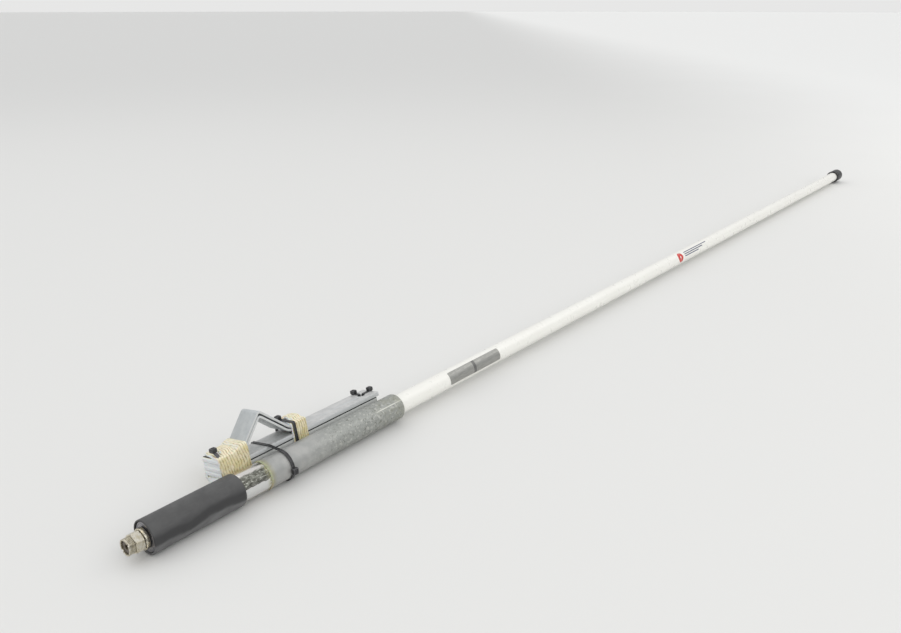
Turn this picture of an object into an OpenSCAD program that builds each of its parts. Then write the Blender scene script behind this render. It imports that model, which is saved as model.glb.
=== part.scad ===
// Fibreglass whip antenna lying on its side, with its steel mast bracket kit strapped to it.
// Millimetres. The antenna axis is X and +Z is up. The origin is the centre of the coaxial
// connector's front face, and the tip of the antenna is at +X. The bracket kit lies on the +Y side.

/* [Connector] */
// Outside diameter of the threaded socket shell (5/8 inch thread)
conn_d = 15.88; // [15.8:0.02:15.96]
// Length of bare thread ahead of the lock nut
conn_front = 6.2; // [5:0.1:6.2]
// Width of the lock nut across its flats
nut_af = 17.5; // [17:0.5:20]
// Thickness of the lock nut
nut_h = 8.4; // [6:0.1:8.4]
// Diameter of the flange washer
washer_d = 20.8; // [20:0.2:24]

/* [Base] */
// Distance from the connector's front face to the base plug and the front of the black sleeve
base_x = 18.7; // [18.7:0.1:20]
// Outside diameter of the chromed ferrule
ferrule_d = 30; // [29.6:0.1:30.2]
// Where the chromed ferrule ends at its shoulder
ferrule_end = 149; // [145:1:150]
// Outside diameter of the sliding black sleeve
sleeve_d = 34; // [33:0.2:34]
// Length of the sliding black sleeve
sleeve_len = 99.3; // [80:0.1:99.3]

/* [Mounting tube] */
// Outside diameter of the grey mounting tube
mount_d = 30.4; // [30.2:0.1:30.8]
// Where the grey mounting tube ends
mount_end = 345; // [338:1:380]

/* [Radome] */
// Outside diameter of the white fibreglass tube
radome_d = 23.4; // [22.4:0.1:23.4]
// Where the white fibreglass tube ends, inside the cap
radome_end = 2137; // [2000:1:2300]
// Outside diameter of the end cap
cap_d = 30; // [26:0.5:32]
// Length of the end cap
cap_len = 46; // [44:1:60]

/* [Bracket kit] */
// Width of the flat steel arms and V straps
arm_w = 27; // [26:1:27]
// Thickness of each arm
arm_t = 4.4; // [4:0.1:4.4]
// Thickness of each V strap
strap_t = 2.4; // [2:0.1:2.4]
// Diameter of the bolt holes in the arms and straps
hole_d = 9; // [8.6:0.1:9.4]
// How far the kit leans, so that its far side is the lower one (degrees)
kit_roll = 12; // [12:1:13]

/* [Node to draw] */
// Name of one node, or all

/* [Hidden] */
$fn = 64;
eps = 0.05;                       // gap between parts that only touch

conn_r = conn_d / 2;
body_r = conn_r - 0.4;            // plain body of the socket behind the thread
nut_end = conn_front + nut_h;
washer_x = 14.9;
plug_x = base_x + 1;              // front face of the base plug, behind the rubber seal
ferrule_r = ferrule_d / 2;
neck_r = 13.4;                    // the ferrule's neck inside the mounting tube
neck_end = 185;
sleeve_r = sleeve_d / 2;
sleeve_end = base_x + sleeve_len;
mount_x = ferrule_end + 2;
mount_r = mount_d / 2;
mount_bore = 13.5;
radome_r = radome_d / 2;
radome_bore = 9.9;
radome_x = 140;
mark_turn = 150;                  // angle of the printed spot, where 0 is +Y and 90 is +Z
cap_x = radome_end - 40;
cap_r = cap_d / 2;

// Inner parts along the axis
skirt_x = 430;
skirt_end = 880;
skirt_r = 7;
feed_end = skirt_end + 16;
coil_x = 1330;
coil_end = 1420;
rod_r = 2;
rod_end = radome_end - 27;
spacer_w = 12;
plug_end_x = radome_end - 47;     // inner end of the plug in the tip

// Bracket kit, drawn level and then leant over about the top near edge of the arms
kit_x = 1;                        // how far the kit is shifted along the antenna
kit_y = 20.5;
kit_z = 14.9;
arm_y = 18;                       // the same edge before the kit is leant over
arm_mid = arm_y + arm_w / 2;
arm_far = arm_y + arm_w;
lower_z = 6.4;
upper_z = 12;
arm_top = upper_z + arm_t;
arm_x = 117;
arm_end = 338;
lower_end = 334;
foot_z = 25;                      // top of the outer V strap's feet
left_hole = 129;
right_hole = 219;
end_hole = 322;
floor_z = -17;

// Bolts through the straps and arms, size M8
bolt_d = 7.9;
bolt_af = 13;
bolt_head = 5.3;
bolt_len = 35;
nut_z = lower_z - 1.6 - 6.5;

// Cable ties
tie_w = 3.6;
tie_t = 1.1;
tie_slack = 0.65;                 // gap between the tube and the tie that holds the kit to it
left_tie_x = 119.6;
right_tie_x = 209.4;
pole_tie_x = 176;

// Taped blocks
tape_y = 16;                      // their near side, before the kit is leant over
skirt_z = 4.4;
left_top = 27.9;
right_top = 28.6;
arc_n = 12;                       // steps in the curve of each strap bend

// ---------- helpers ----------

// A round bar along X
module rod_x(x0, x1, r) {
    translate([x0, 0, 0])
        rotate([0, 90, 0])
            cylinder(h = x1 - x0, r = r);
}

// A body turned about X from [x, radius] points
module turned_x(points) {
    rotate([0, 90, 0])
        rotate_extrude()
            polygon([for (p = points) [p[1], p[0]]]);
}

// A tube along X with its outer edges rounded to a radius of c at each end
module tube_x(x0, x1, ro, ri, c0 = 0.3, c1 = 0.3) {
    turned_x([[x0, ri], [x0, ro - c0], [x0 + c0, ro], [x1 - c1, ro], [x1, ro - c1], [x1, ri]]);
}

// A patch on a tube's surface from a0 to a1 degrees, where 0 is +Y and 90 is +Z
module wrap_x(x0, x1, r, t, a0, a1) {
    translate([x0, 0, 0])
        rotate([90, 0, 90])
            rotate([0, 0, a0])
                rotate_extrude(angle = a1 - a0)
                    translate([r, 0])
                        square([t, x1 - x0]);
}

// A hexagonal prism along Z with its corners turned off at the top
module hex_z(af, h) {
    intersection() {
        cylinder(h = h, r = af / sqrt(3), $fn = 6);
        union() {
            cylinder(h = h - 0.8, r = af / sqrt(3) + 0.01);
            translate([0, 0, h - 0.8])
                cylinder(h = 0.8, r1 = af / sqrt(3) + 0.01, r2 = af / 2 - 0.1);
        }
    }
}

// A flat bar along X with rounded corners
module flat_bar(x0, x1, y0, y1, z0, t, r) {
    translate([0, 0, z0])
        linear_extrude(t)
            union() {
                translate([x0 + r, y0])
                    square([x1 - x0 - 2 * r, y1 - y0]);
                translate([x0, y0 + r])
                    square([x1 - x0, y1 - y0 - 2 * r]);
                for (x = [x0 + r, x1 - r])
                    for (y = [y0 + r, y1 - r])
                        translate([x, y])
                            circle(r = r);
            }
}

function heading(a, b) = atan2(b[1] - a[1], b[0] - a[0]);
function dist(a, b) = norm([b[0] - a[0], b[1] - a[1]]);

// How far a bend of centre radius r at p[i] takes up the straight on each side of it
function bend_len(p, i, r) = r * tan(abs(bend_turn(p, i)) / 2);
function bend_turn(p, i) = heading(p[i], p[i + 1]) - heading(p[i - 1], p[i]);

// Points round the bend at p[i], at a distance off to the left of the centre line
function bend_arc(p, i, r, off) =
    let (
        h = heading(p[i - 1], p[i]),
        turn = bend_turn(p, i),
        side = sign(turn),
        lead = bend_len(p, i, r),
        cx = p[i][0] - lead * cos(h) - side * r * sin(h),
        cy = p[i][1] - lead * sin(h) + side * r * cos(h)
    )
    [for (k = [0 : arc_n])
        let (a = h - 90 * side + turn * k / arc_n)
        [cx + (r - side * off) * cos(a), cy + (r - side * off) * sin(a)]];

// One edge of a bent strip, at a distance off to the left of its centre line
function strip_edge(p, r, off) =
    let (n = len(p) - 1)
    concat(
        [p[0] + off * [-sin(heading(p[0], p[1])), cos(heading(p[0], p[1]))]],
        [for (i = [1 : n - 1]) each bend_arc(p, i, r[i], off)],
        [p[n] + off * [-sin(heading(p[n - 1], p[n])), cos(heading(p[n - 1], p[n]))]]);

function backwards(v) = [for (i = [len(v) - 1 : -1 : 0]) v[i]];

// A strip bent along a line of [x, z] points, with thickness t, width w and centre bend radii r
module bent_strip(p, r, t, w) {
    linear_extrude(w)
        polygon(concat(strip_edge(p, r, t / 2), backwards(strip_edge(p, r, -t / 2))));
}

// Outward direction of the belt between two wheels [u, v, r] taken anticlockwise
function belt_n(a, b) = heading(a, b) - acos((a[2] - b[2]) / dist(a, b));
function turn_up(a) = a < 0 ? turn_up(a + 360) : (a >= 360 ? turn_up(a - 360) : a);

// The line round a set of wheels listed anticlockwise, standing off from them by grow
function round_wheels(c, grow) =
    let (n = len(c))
    [for (i = [0 : n - 1])
        let (
            from = belt_n(c[(i + n - 1) % n], c[i]),
            turn = turn_up(belt_n(c[i], c[(i + 1) % n]) - from),
            steps = ceil(turn / 9)
        )
        for (k = [0 : steps])
            let (a = from + turn * k / steps)
            [c[i][0] + (c[i][2] + grow) * cos(a), c[i][1] + (c[i][2] + grow) * sin(a)]];

// A band of thickness t and width w stretched round wheels listed anticlockwise
module belt(c, t, w) {
    linear_extrude(w)
        difference() {
            polygon(round_wheels(c, t));
            polygon(round_wheels(c, 0));
        }
}

// Puts a shape drawn in (y, z) and raised along +Z so that it stands across X at x
module across_x(x) {
    translate([x, 0, 0])
        rotate([90, 0, 90])
            children();
}

// Puts a shape drawn in (x, z) and raised along +Z so that it stands across Y, from y towards -Y
module across_y(y) {
    translate([0, y, 0])
        rotate([90, 0, 0])
            children();
}

// Leans the bracket kit over
module leant() {
    translate([kit_x, kit_y, kit_z])
        rotate([-kit_roll, 0, 0])
            translate([0, -arm_y, -arm_top])
                children();
}

// A wheel [y, z, r] of the level kit, moved to where the leant kit has it
function leant_wheel(w) = [
    kit_y + (w[0] - arm_y) * cos(kit_roll) + (w[1] - arm_top) * sin(kit_roll),
    kit_z - (w[0] - arm_y) * sin(kit_roll) + (w[1] - arm_top) * cos(kit_roll), w[2]];

// Height at which the leant kit meets the floor, measured before it is leant over
function floor_at(y) =
    arm_top + (floor_z - kit_z + (y - arm_y) * sin(kit_roll)) / cos(kit_roll);

// A sharp corner at [u, v] as a small wheel that clears it; su and sv point from it into the block
corner_r = 0.1;
function corner(u, v, su, sv) = [u + su * corner_r, v + sv * corner_r, corner_r + eps];

// The corners of a strapped block [u0, v0, u1, v1] as small wheels, anticlockwise
function corners(u0, v0, u1, v1) = [
    corner(u0, v0, 1, 1), corner(u1, v0, -1, 1), corner(u1, v1, -1, -1), corner(u0, v1, 1, -1)];

// The locking head of a cable tie: length l, width w and height h, with its slot mouth
module tie_head(l = 6.4, w = 6, h = 4.6) {
    c = 0.7;
    difference() {
        linear_extrude(h)
            polygon([[c, 0], [l - c, 0], [l, c], [l, w - c], [l - c, w], [c, w], [0, w - c], [0, c]]);
        translate([l * 0.45, w * 0.2, h - 1.4])
            cube([l * 0.25, w * 0.6, 2]);
    }
}

// ---------- connector ----------

module connector_shell() {
    color([0.74, 0.70, 0.62])
        difference() {
            turned_x([[0, 6.4], [0, conn_r], [conn_front - 0.3, conn_r],
                [conn_front, body_r], [33, body_r], [33, 4], [14, 4], [14, 6.4]]);
            // Four anti-turn notches in the rim
            for (a = [0 : 90 : 270])
                rotate([a + 45, 0, 0])
                    translate([-1, -0.8, 5.5])
                        cube([1.9, 1.6, 4]);
        }
}

module connector_insulator() {
    color([0.20, 0.19, 0.18])
        turned_x([[1.6, 2.8], [1.6, 5.9], [2, 6.35], [13.95, 6.35], [13.95, 3.95], [31, 3.95],
            [31, 2.8]]);
}

module connector_contact() {
    color([0.80, 0.72, 0.48])
        turned_x([[1.8, 2], [1.8, 2.5], [2.1, 2.75], [34, 2.75], [34, 1.6], [38, 1.6], [38, 0],
            [13, 0], [12, 2]]);
}

module connector_nut() {
    color([0.72, 0.68, 0.60])
        translate([nut_end, 0, 0])
            rotate([0, -90, 0])
                difference() {
                    hex_z(nut_af, nut_h);
                    translate([0, 0, -1])
                        cylinder(h = nut_h + 2, r = body_r + eps);
                }
}

module connector_washer() {
    color([0.80, 0.72, 0.58])
        tube_x(washer_x, base_x, washer_d / 2, body_r + eps, 0.9, 0.3);
}

module connector_seal() {
    color([0.08, 0.08, 0.08])
        tube_x(base_x + 0.02, plug_x - 0.02, 9.6, body_r + eps, 0.3, 0.3);
}

// ---------- base ----------

module base_plug() {
    color([0.82, 0.82, 0.83])
        turned_x([[plug_x, body_r + eps], [plug_x, ferrule_r - 1.2], [plug_x + 1.2, ferrule_r],
            [plug_x + 3, ferrule_r], [plug_x + 3, neck_r - eps], [48, neck_r - eps], [48, 3],
            [39, 3], [39, 4.5], [33.5, 4.5], [33.5, body_r + eps]]);
}

module ferrule_tube() {
    color([0.86, 0.86, 0.87])
        turned_x([[plug_x + 3 + eps, neck_r], [plug_x + 3 + eps, ferrule_r], [ferrule_end, ferrule_r],
            [ferrule_end, neck_r], [neck_end, neck_r], [neck_end, radome_r + eps],
            [radome_x - 5, radome_r + eps], [radome_x - 5, neck_r]]);
}

module black_sleeve() {
    color([0.09, 0.09, 0.09])
        turned_x([[base_x, ferrule_r + eps + 0.4], [base_x, sleeve_r - 1], [base_x + 1, sleeve_r],
            [sleeve_end - 1.2, sleeve_r], [sleeve_end, sleeve_r - 1.2],
            [sleeve_end, ferrule_r + eps], [base_x + 0.4, ferrule_r + eps]]);
}

module sealant_ring() {
    color([0.62, 0.64, 0.30])
        turned_x([[ferrule_end + eps, neck_r + eps], [ferrule_end + eps, ferrule_r + 0.1],
            [ferrule_end + 0.6, ferrule_r + 0.6], [mount_x - 0.6, ferrule_r + 0.6],
            [mount_x - eps, ferrule_r + 0.1], [mount_x - eps, neck_r + eps]]);
}

// ---------- mounting tube and radome ----------

module mount_tube() {
    color([0.55, 0.56, 0.54])
        turned_x([[mount_x, mount_bore], [mount_x, mount_r - 0.4], [mount_x + 0.4, mount_r],
            [mount_end - 1.4, mount_r], [mount_end - 0.4, mount_r - 0.5], [mount_end, mount_r - 1.3],
            [mount_end, mount_bore]]);
}

module tube_bush() {
    color([0.80, 0.79, 0.74])
        tube_x(mount_end - 25, mount_end - 1.5, mount_bore - eps, radome_r + eps, 0.4, 0.4);
}

module radome_tube() {
    color([0.93, 0.92, 0.87])
        tube_x(radome_x, radome_end, radome_r, radome_bore, 0.3, 0.3);
}

// The metal rating plate, left blank
module rating_plate() {
    color([0.58, 0.59, 0.60])
        wrap_x(434, 538, radome_r, 0.25, 112, 193);
}

// A plain round spot: all of the marking that is kept from the printed band
module decal_mark() {
    color([0.80, 0.12, 0.10])
        intersection() {
            tube_x(1080, 1130, radome_r + 0.12, radome_r, 0, 0);
            translate([1106, 0, 0])
                rotate([mark_turn - 90, 0, 0])
                    cylinder(h = 20, r = 9.5);
        }
}

// Three plain stripes beside the spot
module decal_bars() {
    color([0.22, 0.26, 0.36])
        for (i = [0 : 2])
            wrap_x(1124, 1224 - 20 * i, radome_r, 0.12, 118 + 18 * i, 126 + 18 * i);
}

module end_cap() {
    color([0.07, 0.07, 0.07])
        turned_x([[cap_x, radome_r + eps], [cap_x, cap_r - 1], [cap_x + 1, cap_r],
            [cap_x + cap_len - 4, cap_r], [cap_x + cap_len - 1.6, cap_r - 1.2],
            [cap_x + cap_len, cap_r - 4.5], [cap_x + cap_len, 0], [radome_end + eps, 0],
            [radome_end + eps, radome_r + eps]]);
}

module tip_plug() {
    color([0.85, 0.83, 0.76])
        turned_x([[plug_end_x, rod_r + eps], [plug_end_x, radome_bore - 0.4],
            [plug_end_x + 0.4, radome_bore - eps],
            [radome_end - 1, radome_bore - eps], [radome_end - 1, 0], [rod_end + 0.1, 0],
            [rod_end + 0.1, rod_r + eps]]);
}

// ---------- inside the radome ----------

module feed_cable() {
    color([0.12, 0.12, 0.12])
        turned_x([[39.1, 0], [39.1, 2.5], [skirt_end - 1, 2.5], [skirt_end - 1, 0]]);
}

module feed_skirt() {
    color([0.78, 0.60, 0.30])
        tube_x(skirt_x, skirt_end, skirt_r, skirt_r - 0.8);
}

module feed_block() {
    color([0.90, 0.89, 0.84])
        turned_x([[skirt_end + eps, 0], [skirt_end + eps, skirt_r], [feed_end, skirt_r],
            [feed_end, rod_r + eps], [skirt_end + 6, rod_r + eps], [skirt_end + 6, 0]]);
}

module radiator_lower() {
    color([0.80, 0.62, 0.32])
        rod_x(skirt_end + 6.1, coil_x + 8, rod_r);
}

module coil_former() {
    color([0.88, 0.87, 0.82])
        difference() {
            rod_x(coil_x, coil_end, 6);
            rod_x(coil_x - 1, coil_x + 8.1, rod_r + eps);
            rod_x(coil_end - 8.1, coil_end + 1, rod_r + eps);
        }
}

// Turns of wire laid side by side on the former
module phasing_coil() {
    wire = 1.6;
    turns = 30;
    color([0.72, 0.40, 0.22])
        turned_x(concat([[coil_x + 20, 6 + eps]],
            [for (i = [0 : turns - 1]) for (k = [0 : 3])
                [coil_x + 20 + wire * (i + (k + 0.5) / 4), 6.5 + (k == 1 || k == 2 ? 1 : 0.5)]],
            [[coil_x + 20 + wire * turns, 6 + eps]]));
}

module radiator_upper() {
    color([0.80, 0.62, 0.32])
        rod_x(coil_end - 8, rod_end, rod_r);
}

// Foam discs that centre the cable, the skirt and the rods
module foam_spacers() {
    color([0.90, 0.88, 0.80]) {
        for (x = [240, 380])
            tube_x(x, x + spacer_w, radome_bore - eps, 2.5 + eps);
        for (x = [480, 660, 840])
            tube_x(x, x + spacer_w, radome_bore - eps, skirt_r + eps);
        for (x = [1040, 1200, 1520, 1700, 1880])
            tube_x(x, x + spacer_w, radome_bore - eps, rod_r + eps);
    }
}

// ---------- bracket kit ----------

module bolt_hole(x) {
    translate([x, arm_mid, -10])
        cylinder(h = 60, r = hole_d / 2);
}

module arm_upper() {
    color([0.63, 0.66, 0.67])
        leant()
            difference() {
                flat_bar(arm_x, arm_end, arm_y, arm_far, upper_z, arm_t, 1.5);
                bolt_hole(left_hole);
                bolt_hole(right_hole);
                bolt_hole(end_hole);
            }
}

module arm_lower() {
    color([0.58, 0.62, 0.64])
        leant()
            difference() {
                flat_bar(arm_x + 1, lower_end, arm_y, arm_far, lower_z, arm_t, 1.5);
                bolt_hole(left_hole);
                bolt_hole(right_hole);
                bolt_hole(end_hole);
            }
}

// Centre line of a V strap: flat foot, peak, flat foot
function vee(x0, z, knee0, peak_x, peak_z, knee1, x1) =
    [[x0, z], [knee0, z], [peak_x, peak_z], [knee1, z], [x1, z]];

module v_strap(line, bends) {
    difference() {
        across_y(arm_far)
            bent_strip(line, bends, strap_t, arm_w);
        bolt_hole(left_hole);
        bolt_hole(right_hole);
    }
}

module v_strap_outer() {
    color([0.60, 0.65, 0.68])
        leant()
            v_strap(vee(arm_x + 0.5, foot_z - strap_t / 2, 143.8, 172.3, 55, 206.6, 225.4),
                [0, 5, 3.2, 13, 0]);
}

module v_strap_inner() {
    color([0.56, 0.60, 0.62])
        leant()
            v_strap(vee(arm_x + 1.3, foot_z - strap_t * 1.5 - 0.3, 145, 171.7, 50.2, 203.7, 225.2),
                [0, 5, 3.2, 12, 0]);
}

module clamp_bolts() {
    color([0.70, 0.72, 0.74])
        leant()
            for (x = [left_hole, right_hole])
                translate([x, arm_mid, 0]) {
                    translate([0, 0, foot_z + 0.02])
                        rotate([0, 0, 30])
                            hex_z(bolt_af, bolt_head);
                    translate([0, 0, foot_z - bolt_len])
                        cylinder(h = bolt_len + 0.1, r = bolt_d / 2);
                }
}

module clamp_nuts() {
    color([0.68, 0.70, 0.72])
        leant()
            for (x = [left_hole, right_hole])
                translate([x, arm_mid, nut_z - 0.05])
                    difference() {
                        hex_z(bolt_af, 6.5);
                        translate([0, 0, -1])
                            cylinder(h = 9, r = bolt_d / 2 + eps);
                    }
}

module clamp_washers() {
    color([0.72, 0.74, 0.76])
        leant()
            for (x = [left_hole, right_hole])
                translate([x, arm_mid, lower_z - 1.6])
                    difference() {
                        cylinder(h = 1.55, r = 7.5);
                        translate([0, 0, -1])
                            cylinder(h = 4, r = bolt_d / 2 + 0.2);
                    }
}

// Cross-section of a taped block: the wrap round straps and arms over the wrap round the bolt,
// which stands on the floor
function tape_section(top) = [
    [tape_y + 1.6, top], [tape_y, top - 1.8], [tape_y, skirt_z + 3], [tape_y + 2.2, skirt_z],
    [arm_mid - 8.4, skirt_z], [arm_mid - 8.4, floor_at(arm_mid - 8.4) + 1.6],
    [arm_mid - 7, floor_at(arm_mid - 7)], [arm_mid + 7, floor_at(arm_mid + 7)],
    [arm_mid + 8.4, floor_at(arm_mid + 8.4) + 1.6], [arm_mid + 8.4, skirt_z],
    [arm_far + 1, skirt_z], [arm_far + 2, skirt_z + 1.6], [arm_far + 2, top - 2],
    [arm_far, top]];

// The stack of arms and strap feet, and the bolt, that a taped block is wound on
module tape_hollow(x) {
    translate([90, arm_y - 0.1, lower_z - 0.1])
        cube([300, arm_w + 0.2, foot_z - lower_z + 0.2]);
    translate([x, arm_mid, foot_z - bolt_len - 0.2])
        cylinder(h = bolt_len + 0.3, r = 7.8);
    translate([x - 6.8, arm_mid - 7.8, foot_z])
        cube([13.6, 15.6, bolt_head + 0.2]);
}

module tape_left() {
    color([0.85, 0.78, 0.55])
        leant()
            difference() {
                union() {
                    across_x(114)
                        linear_extrude(36)
                            polygon(tape_section(left_top));
                    // The wrap goes over the bolt's head
                    translate([left_hole, arm_mid, left_top - 2])
                        cylinder(h = 5.4, r = 9.2);
                    // The wrap climbs the straps' legs
                    across_y(arm_far + 1.6)
                        linear_extrude(arm_w + 3)
                            polygon([[131, left_top - 1], [133, left_top], [145, 32.2], [149, 32.2],
                                [150, 31], [150, left_top - 1]]);
                }
                tape_hollow(left_hole);
                // Room for the strap legs that climb out of the top
                across_y(arm_far + 0.1)
                    linear_extrude(arm_w + 0.2)
                        polygon([[140, 25], [141.4, 25.1], [143.6, 25.9], [151, 34], [156, 34],
                            [151, 25]]);
                // Room for the cable tie and its climbing strap
                translate([left_tie_x - 2.2, arm_y - 1.4, lower_z - 1.4])
                    cube([4.4, arm_w + 2.8, foot_z - lower_z + 2.8]);
                across_x(left_tie_x - 2.2)
                    linear_extrude(4.4)
                        polygon([[17.3, 24], [31, 31.6], [31, 40], [16.7, 27]]);
            }
}

module tape_right() {
    color([0.86, 0.82, 0.66])
        leant()
            difference() {
                union() {
                    across_x(206)
                        linear_extrude(20)
                            polygon([for (p = tape_section(right_top)) if (p[1] > 0) p]);
                    across_x(212)
                        linear_extrude(14)
                            polygon(tape_section(right_top));
                    // The wrap goes over the bolt's head
                    translate([right_hole - 7.5, arm_mid - 8.6, right_top - 2])
                        cube([15, 17.2, 4.7]);
                }
                tape_hollow(right_hole);
                // Room for the strap legs that climb out of the left side
                across_y(arm_far + 0.1)
                    linear_extrude(arm_w + 0.2)
                        polygon([[204, 25], [204, 30], [208, 26.2], [212, 25]]);
            }
}

// ---------- cable ties ----------

module tie_pole() {
    color([0.06, 0.06, 0.06]) {
        across_x(pole_tie_x - tie_w / 2)
            belt([[0, 0, mount_r + tie_slack], leant_wheel(corner(arm_far, lower_z, -1, 1)),
                leant_wheel(corner(arm_far, arm_top, -1, -1)),
                leant_wheel(corner(arm_y, arm_top, 1, -1))], tie_t, tie_w);
        translate([pole_tie_x - 3.2, -mount_r - tie_slack - 0.3, -3.6])
            rotate([90, 0, 0])
                tie_head(6.4, 7, 4.4);
    }
}

// The head stands clear of the tape on a leaning tail
module tie_left() {
    color([0.10, 0.08, 0.08])
        leant() {
            across_x(left_tie_x - tie_w / 2)
                belt(corners(arm_y, lower_z, arm_far, foot_z), tie_t, tie_w);
            // The strap climbs out of the tape to the head, which stands beside the bolt's head
            across_x(left_tie_x - tie_w / 2)
                linear_extrude(tie_w)
                    polygon([[17.9, 25.1], [27.9, 32.1], [27.1, 33.2], [17.1, 26.1]]);
            translate([left_tie_x - 3.2, 24.7, foot_z + 6.8])
                tie_head(6.4, 6, 4.4);
        }
}

module tie_right() {
    color([0.10, 0.09, 0.08])
        leant() {
            across_x(right_tie_x - tie_w / 2)
                belt([[tape_y + 2, skirt_z + 2, 2.1], [arm_far + 0.7, skirt_z + 1.45, 1.5],
                    [arm_far + 0.3, right_top - 1.7, 1.85], [tape_y + 1.5, right_top - 1.55, 1.65]],
                    tie_t, tie_w);
            translate([right_tie_x - 3.9, 37, right_top + 0.4])
                tie_head(5.8, 6, 4.6);
        }
}

module tie_end_side() {
    color([0.05, 0.05, 0.05])
        leant() {
            across_x(end_hole - tie_w / 2)
                belt(corners(arm_mid + 4.05, lower_z, arm_far, arm_top), tie_t, tie_w);
            translate([end_hole - 3.1, arm_far - 4.6, arm_top + 0.6])
                tie_head(6.2, 6, 4.4);
        }
}

module tie_end_tip() {
    color([0.05, 0.05, 0.05])
        leant() {
            across_y(arm_mid + tie_w / 2)
                belt([corner(end_hole + 4, lower_z, 1, 1), corner(lower_end, lower_z, -1, 1),
                    corner(arm_end, upper_z, -1, 1), corner(arm_end, arm_top, -1, -1),
                    corner(end_hole + 4, arm_top, 1, -1)], tie_t, tie_w);
            translate([arm_end - 4.4, arm_mid - 3, arm_top + 0.6])
                tie_head(6.2, 6, 4.4);
        }
}

connector_shell();
connector_insulator();
connector_contact();
connector_nut();
connector_washer();
connector_seal();
base_plug();
ferrule_tube();
black_sleeve();
sealant_ring();
mount_tube();
tube_bush();
radome_tube();
rating_plate();
decal_mark();
decal_bars();
end_cap();
tip_plug();
feed_cable();
feed_skirt();
feed_block();
radiator_lower();
coil_former();
phasing_coil();
radiator_upper();
foam_spacers();
arm_upper();
arm_lower();
v_strap_outer();
v_strap_inner();
clamp_bolts();
clamp_nuts();
clamp_washers();
tape_left();
tape_right();
tie_pole();
tie_left();
tie_right();
tie_end_side();
tie_end_tip();
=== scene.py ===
"""Looks of a fibreglass whip antenna that lies on the floor with its steel mast bracket kit beside it.

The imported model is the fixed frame. Every visible piece is rebuilt here in finer mesh work, at the place and
size of the node it stands for, and the hidden pieces keep their CAD mesh with a material of their own.
Lengths in the shape code are millimetres; piece() turns them into metres. The antenna's axis is X, Z is up,
and angles round the axis start at +Y and turn towards +Z.
"""

import math

import bmesh
import bpy
from mathutils import Matrix, Vector, noise


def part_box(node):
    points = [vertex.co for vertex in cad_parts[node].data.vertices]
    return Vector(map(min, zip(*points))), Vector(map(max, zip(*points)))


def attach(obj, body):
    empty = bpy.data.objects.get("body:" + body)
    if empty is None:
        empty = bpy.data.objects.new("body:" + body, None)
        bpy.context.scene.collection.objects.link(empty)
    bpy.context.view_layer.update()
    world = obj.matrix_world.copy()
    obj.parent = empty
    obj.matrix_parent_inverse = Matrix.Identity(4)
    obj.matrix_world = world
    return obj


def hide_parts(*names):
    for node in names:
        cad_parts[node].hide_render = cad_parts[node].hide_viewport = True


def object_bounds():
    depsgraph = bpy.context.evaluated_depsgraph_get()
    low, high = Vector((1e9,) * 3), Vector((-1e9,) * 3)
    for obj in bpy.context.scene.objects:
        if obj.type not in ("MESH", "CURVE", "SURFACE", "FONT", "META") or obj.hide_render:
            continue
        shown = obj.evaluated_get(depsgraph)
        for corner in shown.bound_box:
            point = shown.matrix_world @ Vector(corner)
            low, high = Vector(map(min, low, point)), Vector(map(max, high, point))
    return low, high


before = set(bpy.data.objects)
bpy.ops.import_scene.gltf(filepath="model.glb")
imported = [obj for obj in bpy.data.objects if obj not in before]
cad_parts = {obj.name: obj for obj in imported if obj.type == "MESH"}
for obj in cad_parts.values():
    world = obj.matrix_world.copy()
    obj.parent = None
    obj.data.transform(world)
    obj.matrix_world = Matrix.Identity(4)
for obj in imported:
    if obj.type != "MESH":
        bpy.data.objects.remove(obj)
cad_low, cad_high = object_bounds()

MM = 0.001
TAU = 2 * math.pi


# ---------- places, from the frame ----------


def box_mm(node):
    """The lowest and highest corner of a node, in millimetres."""
    low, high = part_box(node)
    return low / MM, high / MM


def turned_size(node):
    """Where a turned node starts and ends along the axis, and its outer radius."""
    low, high = box_mm(node)
    return low.x, high.x, high.z


KIT_LEAN = 12.0  # degrees: the bracket kit leans over about X, far side down


def level_box(node):
    turn = Matrix.Rotation(math.radians(KIT_LEAN), 3, "X")
    points = [turn @ v.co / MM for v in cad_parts[node].data.vertices]
    return tuple(Vector(pick(p[i] for p in points) for i in range(3)) for pick in (min, max))


def leant(shape):
    return moved(shape, (0, 0, 0), [(-KIT_LEAN, "X")])


# ---------- small sums ----------


def rise(value, low, high):
    """0 below low, 1 above high, smooth between."""
    t = max(0.0, min(1.0, (value - low) / (high - low)))
    return t * t * (3 - 2 * t)


def lumps(x, y, z, size):
    """Smooth noise about -1 to 1 whose lumps are about this size."""
    return noise.noise(Vector((x, y, z)) / size)


def round_axis(x, angle, radius):
    """The point at this angle and radius round the antenna's axis."""
    return x, radius * math.cos(angle), radius * math.sin(angle)


def softened(corners, steps=4):
    """A closed outline from (u, v, cut) corners; each is rounded from cut before it to cut after it."""
    line = []
    for i, (u, v, cut) in enumerate(corners):
        corner = Vector((u, v))
        if cut == 0:
            line.append((u, v))
            continue
        before = Vector(corners[i - 1][:2])
        after = Vector(corners[(i + 1) % len(corners)][:2])
        start = corner + (before - corner).normalized() * cut
        end = corner + (after - corner).normalized() * cut
        for k in range(steps + 1):
            t = k / steps
            p = start * (1 - t) ** 2 + corner * 2 * t * (1 - t) + end * t**2
            line.append((p.x, p.y))
    return line


def refined(outline, step):
    """A closed outline with no side longer than step."""
    line = []
    for i, (u, v) in enumerate(outline):
        u2, v2 = outline[(i + 1) % len(outline)]
        pieces = max(1, math.ceil(math.hypot(u2 - u, v2 - v) / step))
        line += [(u + (u2 - u) * k / pieces, v + (v2 - v) * k / pieces) for k in range(pieces)]
    return line


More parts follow.
